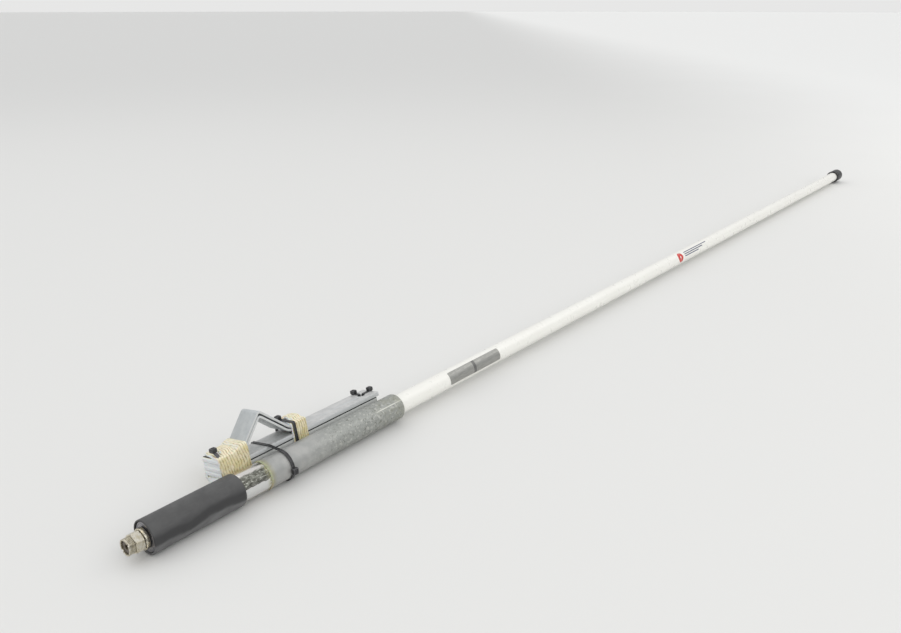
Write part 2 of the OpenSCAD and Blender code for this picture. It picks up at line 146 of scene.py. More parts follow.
def evenly(outline, count):
    """count points spaced evenly round a closed outline."""
    points = [Vector(p) for p in outline]
    points.append(points[0])
    lengths = [0.0]
    for a, b in zip(points, points[1:]):
        lengths.append(lengths[-1] + (b - a).length)
    line, i = [], 0
    for k in range(count):
        want = lengths[-1] * k / count
        while lengths[i + 1] < want:
            i += 1
        t = (want - lengths[i]) / max(lengths[i + 1] - lengths[i], 1e-9)
        line.append(points[i].lerp(points[i + 1], t))
    return line


# ---------- shapes: each is (points, faces) ----------


def rings_shape(rings, closed):
    """A skin over rings of points. A ring of one point is a tip. closed joins the last ring to the first."""
    points, faces, index = [], [], []
    for ring in rings:
        index.append(list(range(len(points), len(points) + len(ring))))
        points += [tuple(p) for p in ring]
    pairs = list(zip(index, index[1:]))
    if closed:
        pairs.append((index[-1], index[0]))
    for a, b in pairs:
        n = max(len(a), len(b))
        for k in range(n):
            j = (k + 1) % n
            corners = [a[k % len(a)], a[j % len(a)], b[j % len(b)], b[k % len(b)]]
            face = list(dict.fromkeys(corners))
            if len(face) > 2:
                faces.append(face)
    return points, faces


def turned(outline, sides=96, warp=None):
    """A body turned about X from a closed (x, radius) outline; warp(x, angle, radius) adds to the radius."""
    rings = []
    for x, r in outline:
        if r < 1e-6:
            rings.append([(x, 0.0, 0.0)])
            continue
        angles = [TAU * k / sides for k in range(sides)]
        rings.append([round_axis(x, a, r + (warp(x, a, r) if warp else 0)) for a in angles])
    return rings_shape(rings, closed=len(rings[0]) > 1 or len(rings[-1]) > 1)


def stacked(rings):
    """A solid over rings of points, closed at both ends."""
    ends = []
    for ring in (rings[0], rings[-1]):
        centre = sum((Vector(p) for p in ring), Vector()) / len(ring)
        ends.append([tuple(centre)])
    return rings_shape([ends[0]] + rings + [ends[1]], closed=False)


def wrapped(x0, x1, r, thickness, a0, a1, corner, lift=None):
    """A thin sheet with round corners on a tube, from a0 to a1 degrees; lift(u, v) raises its outer face."""
    nu, nv = 60, 40
    grids = []
    for outer in (False, True):
        rows = []
        for j in range(nv + 1):
            v = j / nv
            a = math.radians(a0 + (a1 - a0) * v)
            edge = min(v, 1 - v) * math.radians(a1 - a0) * r
            inset = corner - math.sqrt(max(0, corner**2 - max(0, corner - edge) ** 2))
            row = []
            for i in range(nu + 1):
                u = i / nu
                q = r + (thickness + (lift(u, v) if lift else 0) if outer else 0)
                row.append(round_axis(x0 + inset + (x1 - x0 - 2 * inset) * u, a, q))
            rows.append(row)
        grids.append(rows)
    bottom, top = grids
    loops = [top_row + bottom_row[::-1] for bottom_row, top_row in zip(bottom, top)]
    points, faces = rings_shape(loops, closed=False)
    n = 2 * (nu + 1)
    for start in (0, nv * n):
        faces += [[start + i, start + i + 1, start + n - 2 - i, start + n - 1 - i] for i in range(nu)]
    return points, faces


def hexagon_radius(angle, flats):
    """Radius of a hexagon across its flats, whose corners stand at 90 degrees and every 60 from there."""
    turn = (angle - TAU / 4) % (TAU / 6) - TAU / 12
    return flats / 2 / math.cos(turn)


def belt_line(wheels):
    """The line stretched round (u, v, r) wheels listed anticlockwise: (point, outward) pairs."""
    line = []
    n = len(wheels)

    def outward(a, b):
        gap = math.dist(a[:2], b[:2])
        return math.atan2(b[1] - a[1], b[0] - a[0]) - math.acos((a[2] - b[2]) / gap)

    for i, (u, v, r) in enumerate(wheels):
        start = outward(wheels[i - 1], wheels[i])
        turn = (outward(wheels[i], wheels[(i + 1) % n]) - start) % TAU
        steps = max(3, math.ceil(turn / math.radians(6)))
        for k in range(steps + 1):
            a = start + turn * k / steps
            out = Vector((math.cos(a), math.sin(a)))
            line.append((Vector((u, v)) + out * r, out))
    return line


TIE_WIDTH, TIE_THICK = 3.6, 1.1  # of a cable tie's strap


def strap_section():
    """(across, out) points of a cable tie's strap, with a shallow channel along its outer face."""
    w, t = TIE_WIDTH / 2, TIE_THICK
    return [
        (-w, 0.12 * t), (-w + 0.1, 0), (w - 0.1, 0), (w, 0.12 * t), (w, 0.8 * t), (w - 0.25, t),
        (w - 0.75, t), (w - 1.0, 0.8 * t), (-w + 1.0, 0.8 * t), (-w + 0.75, t), (-w + 0.25, t), (-w, 0.8 * t)]


def strap_loop(wheels, place):
    """A cable tie's strap round wheels. place(u, v, across) gives (x, y, z)."""
    line = belt_line(wheels)
    fine = []
    for (p, out), (q, out2) in zip(line, line[1:] + line[:1]):
        steps = max(1, math.ceil((q - p).length / 1.2))
        for k in range(steps):
            fine.append((p.lerp(q, k / steps), out.lerp(out2, k / steps).normalized()))
    rings = []
    for p, out in fine:
        rings.append([place(p.x + out.x * t, p.y + out.y * t, w) for w, t in strap_section()])
    return rings_shape(rings, closed=True)


def round_box(length, width, corner, count=32):
    """Points evenly round a rectangle with round corners, centred on 0."""
    u, v = length / 2, width / 2
    return evenly(softened([(-u, -v, corner), (u, -v, corner), (u, v, corner), (-u, v, corner)]), count)


def tie_head(length, width, height):
    """The head of a cable tie with its slot and the trimmed end of the strap in it. It stands on w = 0."""
    levels = [
        (0, 0.82, 0.9), (0.12, 0.97, 0.97), (0.3, 1, 1), (0.75, 1, 1), (0.92, 0.96, 0.96), (1, 0.86, 0.88)]
    rings = []
    for level, along, across in levels:
        outline = round_box(length * along, width * across, 0.9)
        rings.append([(p.x, p.y, level * height) for p in outline])
    rings.append([(p.x, p.y, height) for p in round_box(length * 0.46, width * 0.66, 0.35)])
    rings.append([(p.x, p.y, height - 1.1) for p in round_box(length * 0.4, width * 0.62, 0.3)])
    head = stacked(rings)
    trim = []
    for level, grow in ((-1.3, 0), (0.35, 0), (0.5, -0.18)):
        outline = round_box(1.1 + grow, width * 0.5 + grow, 0.2)
        slant = 0.25 / width if level > 0 else 0
        trim.append([(p.x - 0.15, p.y, height + level + slant * p.y) for p in outline])
    return joined(head, stacked(trim))


def joined(*shapes):
    points, faces = [], []
    for some_points, some_faces in shapes:
        start = len(points)
        points += some_points
        faces += [[start + k for k in face] for face in some_faces]
    return points, faces


def moved(shape, at, turns=()):
    """A shape turned by (degrees, axis) pairs in order and then moved to a point."""
    turn = Matrix.Identity(3)
    for degrees, axis in turns:
        turn = Matrix.Rotation(math.radians(degrees), 3, axis) @ turn
    at = Vector(at)
    return [tuple(turn @ Vector(p) + at) for p in shape[0]], shape[1]


# ---------- making pieces ----------


def added(name, data):
    """A new object in the scene."""
    obj = bpy.data.objects.new(name, data)
    bpy.context.scene.collection.objects.link(obj)
    return obj


def mesh_of(name, shape):
    """A mesh in metres from a shape in millimetres."""
    mesh = bpy.data.meshes.new(name)
    points, faces = shape
    mesh.from_pydata([[c * MM for c in p] for p in points], [], faces)
    outward_faces(mesh)
    return mesh


def replace_mesh(obj):
    """Applies an object's modifiers."""
    graph = bpy.context.evaluated_depsgraph_get()
    final = bpy.data.meshes.new_from_object(obj.evaluated_get(graph))
    obj.modifiers.clear()
    obj.data = final


def finished(obj, look, body, nodes, bevel=0, sharp=38):
    """Bevels, shades and paints a piece, puts it on its body and lets it stand for its CAD nodes."""
    if bevel:
        edge = obj.modifiers.new("edges", "BEVEL")
        edge.width = bevel * MM
        edge.segments = 3
        edge.limit_method = "ANGLE"
        edge.angle_limit = math.radians(35)
        replace_mesh(obj)
    obj.data.materials.clear()
    obj.data.materials.append(look)
    obj.data.shade_smooth()
    obj.data.set_sharp_from_angle(angle=math.radians(sharp))
    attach(obj, body)
    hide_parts(*nodes)
    return obj


def piece(name, shape, look, body, nodes, sharp=38):
    """A new piece from a shape in millimetres."""
    return finished(added(name, mesh_of(name, shape)), look, body, nodes, sharp=sharp)


def outward_faces(mesh):
    """Merges double points and turns every face outward."""
    work = bmesh.new()
    work.from_mesh(mesh)
    bmesh.ops.remove_doubles(work, verts=work.verts, dist=1e-6)
    bmesh.ops.recalc_face_normals(work, faces=work.faces)
    work.to_mesh(mesh)
    work.free()


def bevelled(name, node, look, bevel):
    """A copy of a bracket kit node's mesh with its sharp edges broken, as deburred steel has them."""
    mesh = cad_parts[node].data.copy()
    outward_faces(mesh)
    return finished(added(name, mesh), look, "bracket_kit", [node], bevel)


# ---------- materials ----------


class Nodes:
    """A node tree and short ways to add to it."""

    def __init__(self, tree):
        self.tree = tree
        self.coords = self.node("TexCoord").outputs

    def node(self, kind, *fed, **settings):
        """A new shader node with these settings, whose first inputs are fed in order."""
        made = self.tree.nodes.new("ShaderNode" + kind)
        for key, value in settings.items():
            setattr(made, key, value)
        for socket, value in zip(made.inputs, fed):
            self.feed(socket, value)
        return made

    def feed(self, socket, value):
        if isinstance(value, bpy.types.NodeSocket):
            self.tree.links.new(value, socket)
        elif isinstance(value, tuple) and socket.type == "RGBA":
            socket.default_value = (*value, 1)
        else:
            socket.default_value = value

    def band(self, value, low, high, to_low=0.0, to_high=1.0):
        """value from low..high to to_low..to_high, smooth and clamped."""
        limits = (low, high, to_low, to_high)
        return self.node("MapRange", value, *limits, interpolation_type="SMOOTHSTEP").outputs[0]

    def calc(self, operation, a, b=0.0):
        return self.node("Math", a, b, operation=operation).outputs[0]

    def times(self, a, b):
        return self.calc("MULTIPLY", a, b)

    def plus(self, a, b):
        return self.calc("ADD", a, b)


class Look(Nodes):
    """A procedural material: a Principled shader and short ways to feed it."""

    def __init__(self, name, **settings):
        self.material = bpy.data.materials.new(name)
        self.material.use_nodes = True
        super().__init__(self.material.node_tree)
        self.shader = self.tree.nodes["Principled BSDF"]
        self.set(**settings)

    def set(self, **settings):
        for key, value in settings.items():
            self.feed(self.shader.inputs[key.replace("_", " ")], value)
        return self

    def spread(self, stretch):
        """The place on the object in metres, multiplied by stretch along each axis."""
        return self.node("VectorMath", self.coords["Object"], stretch, operation="MULTIPLY").outputs[0]

    def noise(self, size, detail=3, stretch=(1, 1, 1), rough=0.55):
        """Noise from 0 to 1 whose lumps are about size millimetres; stretch below 1 draws them out."""
        made = self.node("TexNoise", self.spread(stretch))
        made.inputs["Scale"].default_value = 1 / (size * MM)
        made.inputs["Detail"].default_value = detail
        made.inputs["Roughness"].default_value = rough
        return made.outputs[0]

    def cell_edges(self, size):
        """Distance to the edge in a cell pattern whose cells are about size millimetres."""
        made = self.node("TexVoronoi", self.spread((1, 1, 1)), feature="DISTANCE_TO_EDGE")
        made.inputs["Scale"].default_value = 1 / (size * MM)
        return made.outputs["Distance"]

    def axis(self, letter):
        """One coordinate on the object, in millimetres."""
        return self.node("SeparateXYZ", self.spread((1 / MM,) * 3)).outputs[letter]

    def near_angle(self):
        """Degrees round the antenna's axis, from 0 on its near side (-Y) to 90 on top."""
        toward = self.times(self.axis("Y"), -1.0)
        return self.times(self.calc("ARCTAN2", self.axis("Z"), toward), 180 / math.pi)

    def facing(self, letter):
        """One component of the surface's direction, -1 to 1."""
        return self.node("SeparateXYZ", self.node("NewGeometry").outputs["Normal"]).outputs[letter]

    def edges(self):
        """Above 0.5 on outer edges and below it in hollows."""
        return self.node("NewGeometry").outputs["Pointiness"]

    def cloud(self, size, detail, low=0.3, high=0.7, to_low=0.0, to_high=1.0):
        """Noise whose values from low to high run from to_low to to_high."""
        return self.band(self.noise(size, detail), low, high, to_low, to_high)

    def mix(self, share, a, b):
        made = self.node("Mix", data_type="RGBA")
        self.feed(made.inputs[0], share)
        self.feed(made.inputs[6], a)
        self.feed(made.inputs[7], b)
        return made.outputs[2]

    def bump(self, height, depth, under=None):
        """A bump whose height of 1 stands depth millimetres."""
        made = self.node("Bump")
        made.inputs["Distance"].default_value = depth * MM
        made.inputs["Strength"].default_value = 1
        self.feed(made.inputs["Height"], height)
        if under is not None:
            self.feed(made.inputs["Normal"], under)
        return made.outputs[0]


def nickel():
    """Plated brass that has yellowed, darkened in its hollows by dirt and painted shade, and bright on its
    edges from wear and a painted highlight.
    """
    s = Look("nickel", Metallic=1.0)
    blotch = s.noise(2.5, 4)
    colour = s.mix(s.band(blotch, 0.35, 0.65), (0.50, 0.455, 0.34), (0.63, 0.60, 0.52))
    # Painted shade with some dirt: the hollows are painted dark where the threads and chamfers fall into
    # shade.
    colour = s.mix(s.band(s.edges(), 0.44, 0.5), (0.13, 0.12, 0.085), colour)
    # Painted highlight with some wear: the edges are painted bright for the glints along the hex corners and
    # thread crests.
    colour = s.mix(s.band(s.edges(), 0.52, 0.58), colour, (0.86, 0.80, 0.66))
    s.set(Base_Color=colour, Roughness=s.cloud(0.9, 5, 0.3, 0.7, 0.22, 0.42))
    return s.set(Normal=s.bump(s.noise(0.35, 3), 0.02)).material


def nickel_with_rim_highlight():
    """The flange: the same plating, with a warm highlight painted round its rim."""
    s = Look("nickel_flange", Metallic=1.0)
    # Painted highlight: the rim is painted warm and bright for the light that glances off the flange's edge.
    rim = s.plus(s.cloud(3, 3, 0.3, 0.7, -0.08, 0.08), s.edges())
    colour = s.mix(s.cloud(2, 4, 0.35, 0.65), (0.46, 0.43, 0.35), (0.60, 0.57, 0.48))
    colour = s.mix(s.band(rim, 0.52, 0.6), colour, (0.93, 0.82, 0.58))
    s.set(Base_Color=colour, Roughness=s.cloud(0.8, 4, 0.3, 0.7, 0.2, 0.38))
    return s.set(Normal=s.bump(s.noise(0.4, 3), 0.02)).material


def plug_chrome():
    """Chrome painted dark on its front face as painted shade, since the face sits back in the sleeve's shadow,
    in blotches of a darker bluish tone.
    """
    s = Look("chrome_face", Metallic=1.0)
    stain = s.cloud(6, 3, 0.4, 0.7)
    # Painted shade: both colours are kept dark for the shadow inside the sleeve, and the blotches only move
    # between them.
    colour = s.mix(stain, (0.30, 0.29, 0.30), (0.16, 0.165, 0.19))
    s.set(Base_Color=colour, Roughness=s.cloud(1.5, 4, 0.3, 0.7, 0.1, 0.26))
    return s.set(Normal=s.bump(s.noise(0.5, 3), 0.01)).material


def chrome(ring_x):
    """Chrome with painted reflections: a dull belt painted as the dark studio's reflection and streaked darker
    along the axis, a painted dark reflection line under it, and a pale belt low down painted as the floor's
    reflection; also a real stain next to the sealant.
    """
    s = Look("chrome", Metallic=1.0)
    streak = s.noise(1.7, 5, stretch=(0.35, 1, 1), rough=0.68)
    spots = s.noise(1.1, 4)
    turn = s.near_angle()
    uneven = s.calc("SUBTRACT", s.noise(5, 3, stretch=(0.5, 1, 1)), 0.5)
    wander = s.plus(turn, s.times(uneven, 22))
    # Painted reflection: middle is the belt round the axis where the chrome shows the dark studio, and it gets
    # a dull, dark colour.
    middle = s.times(s.band(wander, 17, 24), s.band(wander, 74, 60))
    streaked = s.plus(streak, s.times(spots, 0.4))
    # Painted reflection: the dark streaks are painted only inside that belt.
    dark_reflection_streaks = s.times(middle, s.band(streaked, 0.55, 0.80))
    dull = s.mix(s.cloud(3, 3, 0.35, 0.65), (0.30, 0.31, 0.27), (0.50, 0.50, 0.45))
    colour = s.mix(middle, (0.62, 0.60, 0.57), dull)
    colour = s.mix(dark_reflection_streaks, colour, (0.09, 0.09, 0.075))
    # Painted reflection: the band low on the near side is painted pale and less metallic, for the bright floor
    # seen in the chrome.
    below = s.times(s.band(turn, 17, 14), s.band(turn, -30, -26))
    colour = s.mix(below, colour, (0.60, 0.60, 0.585))
    # Painted reflection: a dark line painted along the lower edge of the dark belt.
    line = s.times(s.band(wander, 15, 17), s.band(wander, 21, 19))
    colour = s.mix(s.times(line, 0.9), colour, (0.10, 0.10, 0.09))
    near_ring = s.times(s.band(s.axis("X"), ring_x - 6, ring_x), s.cloud(2, 4, 0.35, 0.6))
    colour = s.mix(near_ring, colour, (0.34, 0.33, 0.20))
    s.set(Base_Color=colour, Metallic=s.band(below, 0, 1, 1.0, 0.35))
    s.set(Roughness=s.band(dark_reflection_streaks, 0, 1, 0.12, 0.42))
    return s.set(Normal=s.bump(streak, 0.05)).material


def sleeve_black():
    """Satin black rubber: dust and a painted sheen on top, rubbed lines, and on its near side a band of
    painted shade above a band of painted light where it faces down.
    """
    s = Look("sleeve_black")
    # Dust and painted light: what faces up is painted paler, partly dust and partly the sheen of the overhead
    # light.
    dust_and_top_sheen = s.times(s.band(s.facing("Z"), 0.1, 0.95), s.cloud(14, 4, 0.3, 0.7, 0.5, 1))
    rubbed = s.band(s.noise(1.2, 4, stretch=(0.08, 1, 1)), 0.55, 0.72)
    colour = s.mix(dust_and_top_sheen, (0.046, 0.046, 0.047), (0.082, 0.082, 0.081))
    colour = s.mix(s.times(rubbed, 0.25), colour, (0.10, 0.10, 0.098))
    colour = s.mix(s.band(s.edges(), 0.515, 0.56), colour, (0.09, 0.09, 0.09))
    wave = s.plus(s.near_angle(), s.times(s.calc("SUBTRACT", s.noise(40, 3), 0.5), 60))
    # Painted shade: a dark band painted along the near side, where the sleeve turns away from the overhead
    # light.
    fold = s.times(s.band(wave, -6, 8), s.band(wave, 34, 20))
    colour = s.mix(s.times(fold, 0.8), colour, (0.030, 0.030, 0.031))
    # Painted light: the part under that band faces the floor and is painted paler for the light the floor
    # throws up.
    foot = s.times(s.band(wave, 0, -14), s.cloud(20, 3, 0.3, 0.7, 0.5, 1))
    colour = s.mix(foot, colour, (0.15, 0.15, 0.151))
    s.set(Base_Color=colour, Roughness=s.cloud(5, 4, 0.3, 0.7, 0.42, 0.56), Specular_IOR_Level=0.45)
    grain = s.bump(s.noise(0.25, 2), 0.012)
    return s.set(Normal=s.bump(s.noise(7, 3), 0.12, grain)).material


def sealant():
    """Yellow-green sealant that has turned orange-brown low down."""
    s = Look("sealant", Roughness=0.5)
    low = s.band(s.plus(s.axis("Z"), s.times(s.noise(3, 3), 10)), 9, -2)
    colour = s.mix(s.cloud(1.5, 4, 0.35, 0.65), (0.30, 0.30, 0.16), (0.42, 0.41, 0.28))
    colour = s.mix(low, colour, (0.38, 0.31, 0.20))
    s.set(Base_Color=colour, Subsurface_Weight=0.1)
    return s.set(Normal=s.bump(s.noise(0.8, 4), 0.1)).material


FILM_RIDGE_ANGLE = 131.0  # degrees round the axis, of the raised film edge along the mounting tube, which is painted pale as a highlight
FILM_RIDGE_START = 303  # where along the tube it starts


def mount_grey(start_x, end_x):
    """Grey metal: smooth at the base, then ever more silvery crinkled film, with a painted highlight along the
    film's raised edge near its end.
    """
    s = Look("mount_grey")
    along = s.axis("X")
    film = s.band(s.plus(along, s.times(s.noise(30, 3), 60)), 215, 285)
    crinkle = s.noise(3.6, 5, rough=0.68)
    fold = s.cell_edges(5)
    bright = s.times(s.band(crinkle, 0.52, 0.62), film)
    dark = s.times(s.band(s.noise(3.2, 5, rough=0.72), 0.52, 0.66), film)
    base = s.mix(s.cloud(16, 4, 0.35, 0.65), (0.33, 0.335, 0.325), (0.40, 0.40, 0.385))
    cleaned = s.mix(film, base, (0.34, 0.35, 0.33))
    colour = s.mix(s.times(dark, 0.75), cleaned, (0.15, 0.155, 0.13))
    colour = s.mix(s.times(bright, 0.65), colour, (0.58, 0.58, 0.54))
    # Painted highlight: a pale line painted along the raised edge of the film.
    off = s.calc("ABSOLUTE", s.calc("SUBTRACT", s.near_angle(), 180 - FILM_RIDGE_ANGLE))
    film_ridge = s.times(s.band(off, 3.2, 1.2), s.band(along, FILM_RIDGE_START - 3, FILM_RIDGE_START + 5))
    colour = s.mix(s.times(film_ridge, 0.8), colour, (0.72, 0.72, 0.66))
    stain = s.times(s.band(along, 288, 325), s.cloud(8, 4, 0.4, 0.62))
    colour = s.mix(s.times(stain, 0.35), colour, (0.30, 0.30, 0.22))
    seep = s.times(s.band(along, start_x + 6, start_x), s.cloud(3, 4, 0.3, 0.6, 0.35, 1))
    colour = s.mix(s.times(seep, 0.7), colour, (0.33, 0.31, 0.17))
    lip = s.band(along, end_x - 2.5, end_x - 0.5)
    colour = s.mix(s.times(lip, 0.5), colour, (0.42, 0.43, 0.38))
    s.set(Base_Color=colour, Metallic=s.band(film, 0, 1, 0.35, 0.6))
    s.set(Roughness=s.band(crinkle, 0.35, 0.65, 0.36, 0.5))
    folds = s.bump(s.times(s.band(fold, 0.0, 0.25), film), 0.18)
    return s.set(Normal=s.bump(s.times(crinkle, film), 0.35, folds)).material


def radome_white():
    """Gloss off-white gel coat over fibreglass, a little cloudy."""
    s = Look("radome_white", Coat_Weight=0.25, Coat_Roughness=0.12)
    colour = s.mix(s.cloud(60, 3), (0.815, 0.805, 0.755), (0.83, 0.825, 0.775))
    s.set(Base_Color=colour, Roughness=s.cloud(9, 4, 0.3, 0.7, 0.26, 0.38))
    return s.set(Normal=s.bump(s.noise(3, 2, stretch=(0.05, 1, 1)), 0.006)).material


def plate_silver(low_x, high_x):
    """Brushed plate with one dark bar across its middle. It carries no writing."""
    s = Look("plate_silver", Metallic=0.75)
    along = s.axis("X")
    middle = (low_x + high_x) / 2 - 2
    bar = s.times(s.band(along, middle - 3, middle - 2), s.band(along, middle + 3, middle + 2))
    brush = s.noise(0.5, 3, stretch=(0.05, 1, 1))
    colour = s.mix(s.band(brush, 0.3, 0.7), (0.30, 0.30, 0.28), (0.40, 0.40, 0.38))
    colour = s.mix(s.times(bar, 0.8), colour, (0.13, 0.13, 0.13))
    s.set(Base_Color=colour, Roughness=s.cloud(3, 4, 0.3, 0.7, 0.34, 0.5))
    return s.set(Normal=s.bump(brush, 0.02)).material


def ink(name, colour, worn):
    """Printed ink that lets a little of the white below show through."""
    s = Look(name, Roughness=0.35)
    chips = s.band(s.noise(0.9, 5, rough=0.7), 0.62, 0.72)
    shade = s.mix(s.cloud(6, 3), colour, tuple(c * 0.8 for c in colour))
    return s.set(Base_Color=s.mix(s.times(chips, worn), shade, (0.8, 0.78, 0.72))).material


def moulded(name, dark, light, rough=0.5, grain=0.03):
    """Moulded plastic or rubber, dull and a little uneven."""
    s = Look(name)
    colour = s.mix(s.cloud(5, 4), dark, light)
    colour = s.mix(s.band(s.edges(), 0.52, 0.6), colour, tuple(min(1, c * 1.9 + 0.02) for c in light))
    s.set(Base_Color=colour, Roughness=s.cloud(3, 4, 0.3, 0.7, rough - 0.08, rough + 0.08))
    return s.set(Normal=s.bump(s.noise(0.5, 3), grain)).material


def bare_metal(name, dark, light, rough=0.3, stretch=(0.15, 1, 1)):
    """Drawn or plated metal with faint lines along it."""
    s = Look(name, Metallic=1.0)
    lines = s.noise(0.6, 4, stretch=stretch)
    s.set(Base_Color=s.mix(s.cloud(5, 4), dark, light))
    s.set(Roughness=s.band(lines, 0.3, 0.7, rough - 0.08, rough + 0.1))
    return s.set(Normal=s.bump(lines, 0.02)).material


def zinc(name, dull, clear, shade, metal, painted_dark_top=False):
    """Zinc-plated strip: cloudy passivate, fine scratches along it and paler worn edges. shade is painted
    light and shade, the colour of its near side; the last argument paints shade onto what faces up, for the
    arm that lies under the other."""
    s = Look(name, Metallic=metal)
    cloud = s.noise(9, 4)
    scratch = s.band(s.noise(0.5, 4, stretch=(0.05, 1, 1)), 0.6, 0.72)
    colour = s.mix(s.band(cloud, 0.3, 0.7), dull, clear)
    # Painted light and shade: the near side gets its own colour for how the light falls on it.
    colour = s.mix(s.band(s.facing("Y"), -0.4, -0.9), colour, shade)
    colour = s.mix(s.times(scratch, 0.3), colour, (0.62, 0.64, 0.65))
    colour = s.mix(s.band(s.edges(), 0.52, 0.58), colour, (0.60, 0.63, 0.64))
    # Painted shade: what faces up is painted almost black, for the shade under the arm that lies on top.
    if painted_dark_top:
        colour = s.mix(s.band(s.facing("Z"), 0.3, 0.6), colour, (0.02, 0.021, 0.02))
    s.set(Base_Color=colour, Roughness=s.cloud(2, 4, 0.3, 0.7, 0.36, 0.52))
    return s.set(Normal=s.bump(s.noise(1.2, 4), 0.03)).material


def tape(name, pale, yellow, brown):
    """Yellowed tape: paler on top as painted light, browner in the steps between its wound edges, whitish on
    its open end.
    """
    s = Look(name, Roughness=0.5)
    # Painted light: what faces up is painted paler.
    top = s.band(s.plus(s.facing("Z"), s.cloud(5, 3, 0.3, 0.7, -0.2, 0.2)), 0.3, 0.8)
    aged = s.mix(s.cloud(7, 3), yellow, pale)
    colour = s.mix(top, aged, tuple(min(1, c * 1.06) for c in pale))
    step = s.node("Attribute", attribute_name="step").outputs["Fac"]
    # Browner in the steps between the turns of tape.
    brown_in_steps = s.times(step, s.cloud(4, 3, 0.35, 0.6, 0.35, 1.0))
    colour = s.mix(brown_in_steps, colour, brown)
    end = s.band(s.facing("X"), -0.45, -0.7)
    colour = s.mix(end, colour, (0.78, 0.80, 0.80))
    s.set(Base_Color=colour, Subsurface_Weight=0.12, Subsurface_Scale=0.002)
    return s.set(Normal=s.bump(s.noise(0.6, 4), 0.05)).material


def tie_black():
    """Black nylon with a soft grey sheen."""
    s = Look("tie_black", Specular_IOR_Level=0.6)
    colour = s.mix(s.cloud(2, 4), (0.010, 0.010, 0.011), (0.026, 0.026, 0.028))
    colour = s.mix(s.band(s.edges(), 0.52, 0.6), colour, (0.08, 0.08, 0.085))
    s.set(Base_Color=colour, Roughness=s.cloud(1, 3, 0.3, 0.7, 0.28, 0.42))
    return s.set(Normal=s.bump(s.noise(0.5, 3), 0.02)).material


# ---------- connector ----------


def socket_shell(look):
    """The socket's shell: a 5/8 inch thread of 24 turns to the inch, a plain body and four front notches."""
    x0, x1, r = turned_size("connector_shell")
    pitch, depth = 25.4 / 24, 0.52
    thread_end, body, bore, deep = 5.9, r - 0.4, 6.4, 14.0

    def thread(x, a, radius):
        if radius < r - 0.01:
            return 0
        phase = ((x - x0) / pitch - a / TAU) % 1
        ends = rise(x, 0.7, 1.5) * rise(x, thread_end, thread_end - 0.7)
        return -depth * max(0.0, 1 - abs(2 * phase - 1) * 1.3) * ends

    front = softened([(x0, bore, 0.25), (x0, r, 0.35), (thread_end, r, 0.2), (thread_end + 0.3, body, 0.1),
                      (x1, body, 0.3), (x1, 4, 0), (deep, 4, 0), (deep, bore, 0)])
    fine = []
    for p, q in zip(front, front[1:] + front[:1]):
        steps = 52 if p[1] == q[1] == r else 1
        fine += [(p[0] + (q[0] - p[0]) * k / steps, p[1] + (q[1] - p[1]) * k / steps) for k in range(steps)]
    obj = piece("socket_shell", turned(fine, 128, thread), look, "pole", ["connector_shell"], sharp=55)
    notch = box_shape(Vector((-1, -0.8, 5.5)), Vector((0.95, 0.8, 9.5)))
    cutters = joined(*[moved(notch, (0, 0, 0), [(45 + 90 * k, "X")]) for k in range(4)])
    cut_away(obj, cutters)


def box_shape(low, high):
    corners = [(x, y, z) for x in (low.x, high.x) for y in (low.y, high.y) for z in (low.z, high.z)]
    return corners, [[0, 1, 3, 2], [4, 6, 7, 5], [0, 4, 5, 1], [2, 3, 7, 6], [0, 2, 6, 4], [1, 5, 7, 3]]


def cut_away(obj, shape):
    """Takes a shape out of a piece."""
    cutter = added("cutter", mesh_of("cutter", shape))
    cut = obj.modifiers.new("cut", "BOOLEAN")
    cut.object = cutter
    cut.solver = "EXACT"
    replace_mesh(obj)
    bpy.data.objects.remove(cutter)
    obj.data.set_sharp_from_angle(angle=math.radians(40))


SHELL_HOLE = 7.6  # radius of the hole that the socket's shell goes through


def lock_nut(look):
    """The hexagonal lock nut, with its corners turned off at both faces."""
    low, high = box_mm("connector_nut")
    flats, corner = 2 * high.y, high.z
    levels = [(0.0, 0), (0.18, 0.18), (0.5, 0.5), (1.0, 1.0), (1.8, 1.8)]
    stations = [(low.x + d, c * 1.73) for d, c in levels]
    stations += [(high.x - d, c * 2.6) for d, c in reversed(levels)]
    angles = [TAU * k / 180 for k in range(180)]
    rings = []
    for x, grow in stations:
        widest = min(flats / 2 - 0.15 + grow, corner - 0.12)
        rings.append([round_axis(x, a, min(hexagon_radius(a, flats), widest)) for a in angles])
    for x in (high.x, high.x - 0.4, low.x + 0.4, low.x):
        r = SHELL_HOLE + (0.35 if x in (high.x, low.x) else 0)
        rings.append([round_axis(x, a, r) for a in angles])
    piece("lock_nut", rings_shape(rings, closed=True), look, "pole", ["connector_nut"], sharp=24)


def flange_washer(look):
    x0, x1, r = turned_size("connector_washer")
    outline = softened([(x0, SHELL_HOLE, 0.1), (x0, r, 0.9), (x1, r, 0.5), (x1, SHELL_HOLE, 0.1)], 6)
    piece("flange_washer", turned(outline, 128), look, "pole", ["connector_washer"])


def base_plug(look):
    """The chromed plug: its face has two shallow turned grooves and a rounded rim."""
    x0, x1, r = turned_size("base_plug")
    rim_end, neck = x0 + 3, 13.35
    seat, seat_hole = 33.5, 4.5
    stop, cable_hole = 39, 3
    face = [(x0, SHELL_HOLE, 0)]
    for groove in (10.9, 13.0):
        face += [(x0, groove - 0.35, 0.1), (x0 + 0.22, groove, 0.1), (x0, groove + 0.35, 0.1)]
    rim = [
        (x0, r, 1.0), (rim_end, r, 0.1), (rim_end, neck, 0), (x1, neck, 0), (x1, cable_hole, 0),
        (stop, cable_hole, 0), (stop, seat_hole, 0), (seat, seat_hole, 0), (seat, SHELL_HOLE, 0)]
    piece("chromed_plug", turned(softened(face + rim), 128), look, "pole", ["base_plug"])


# ---------- base ----------


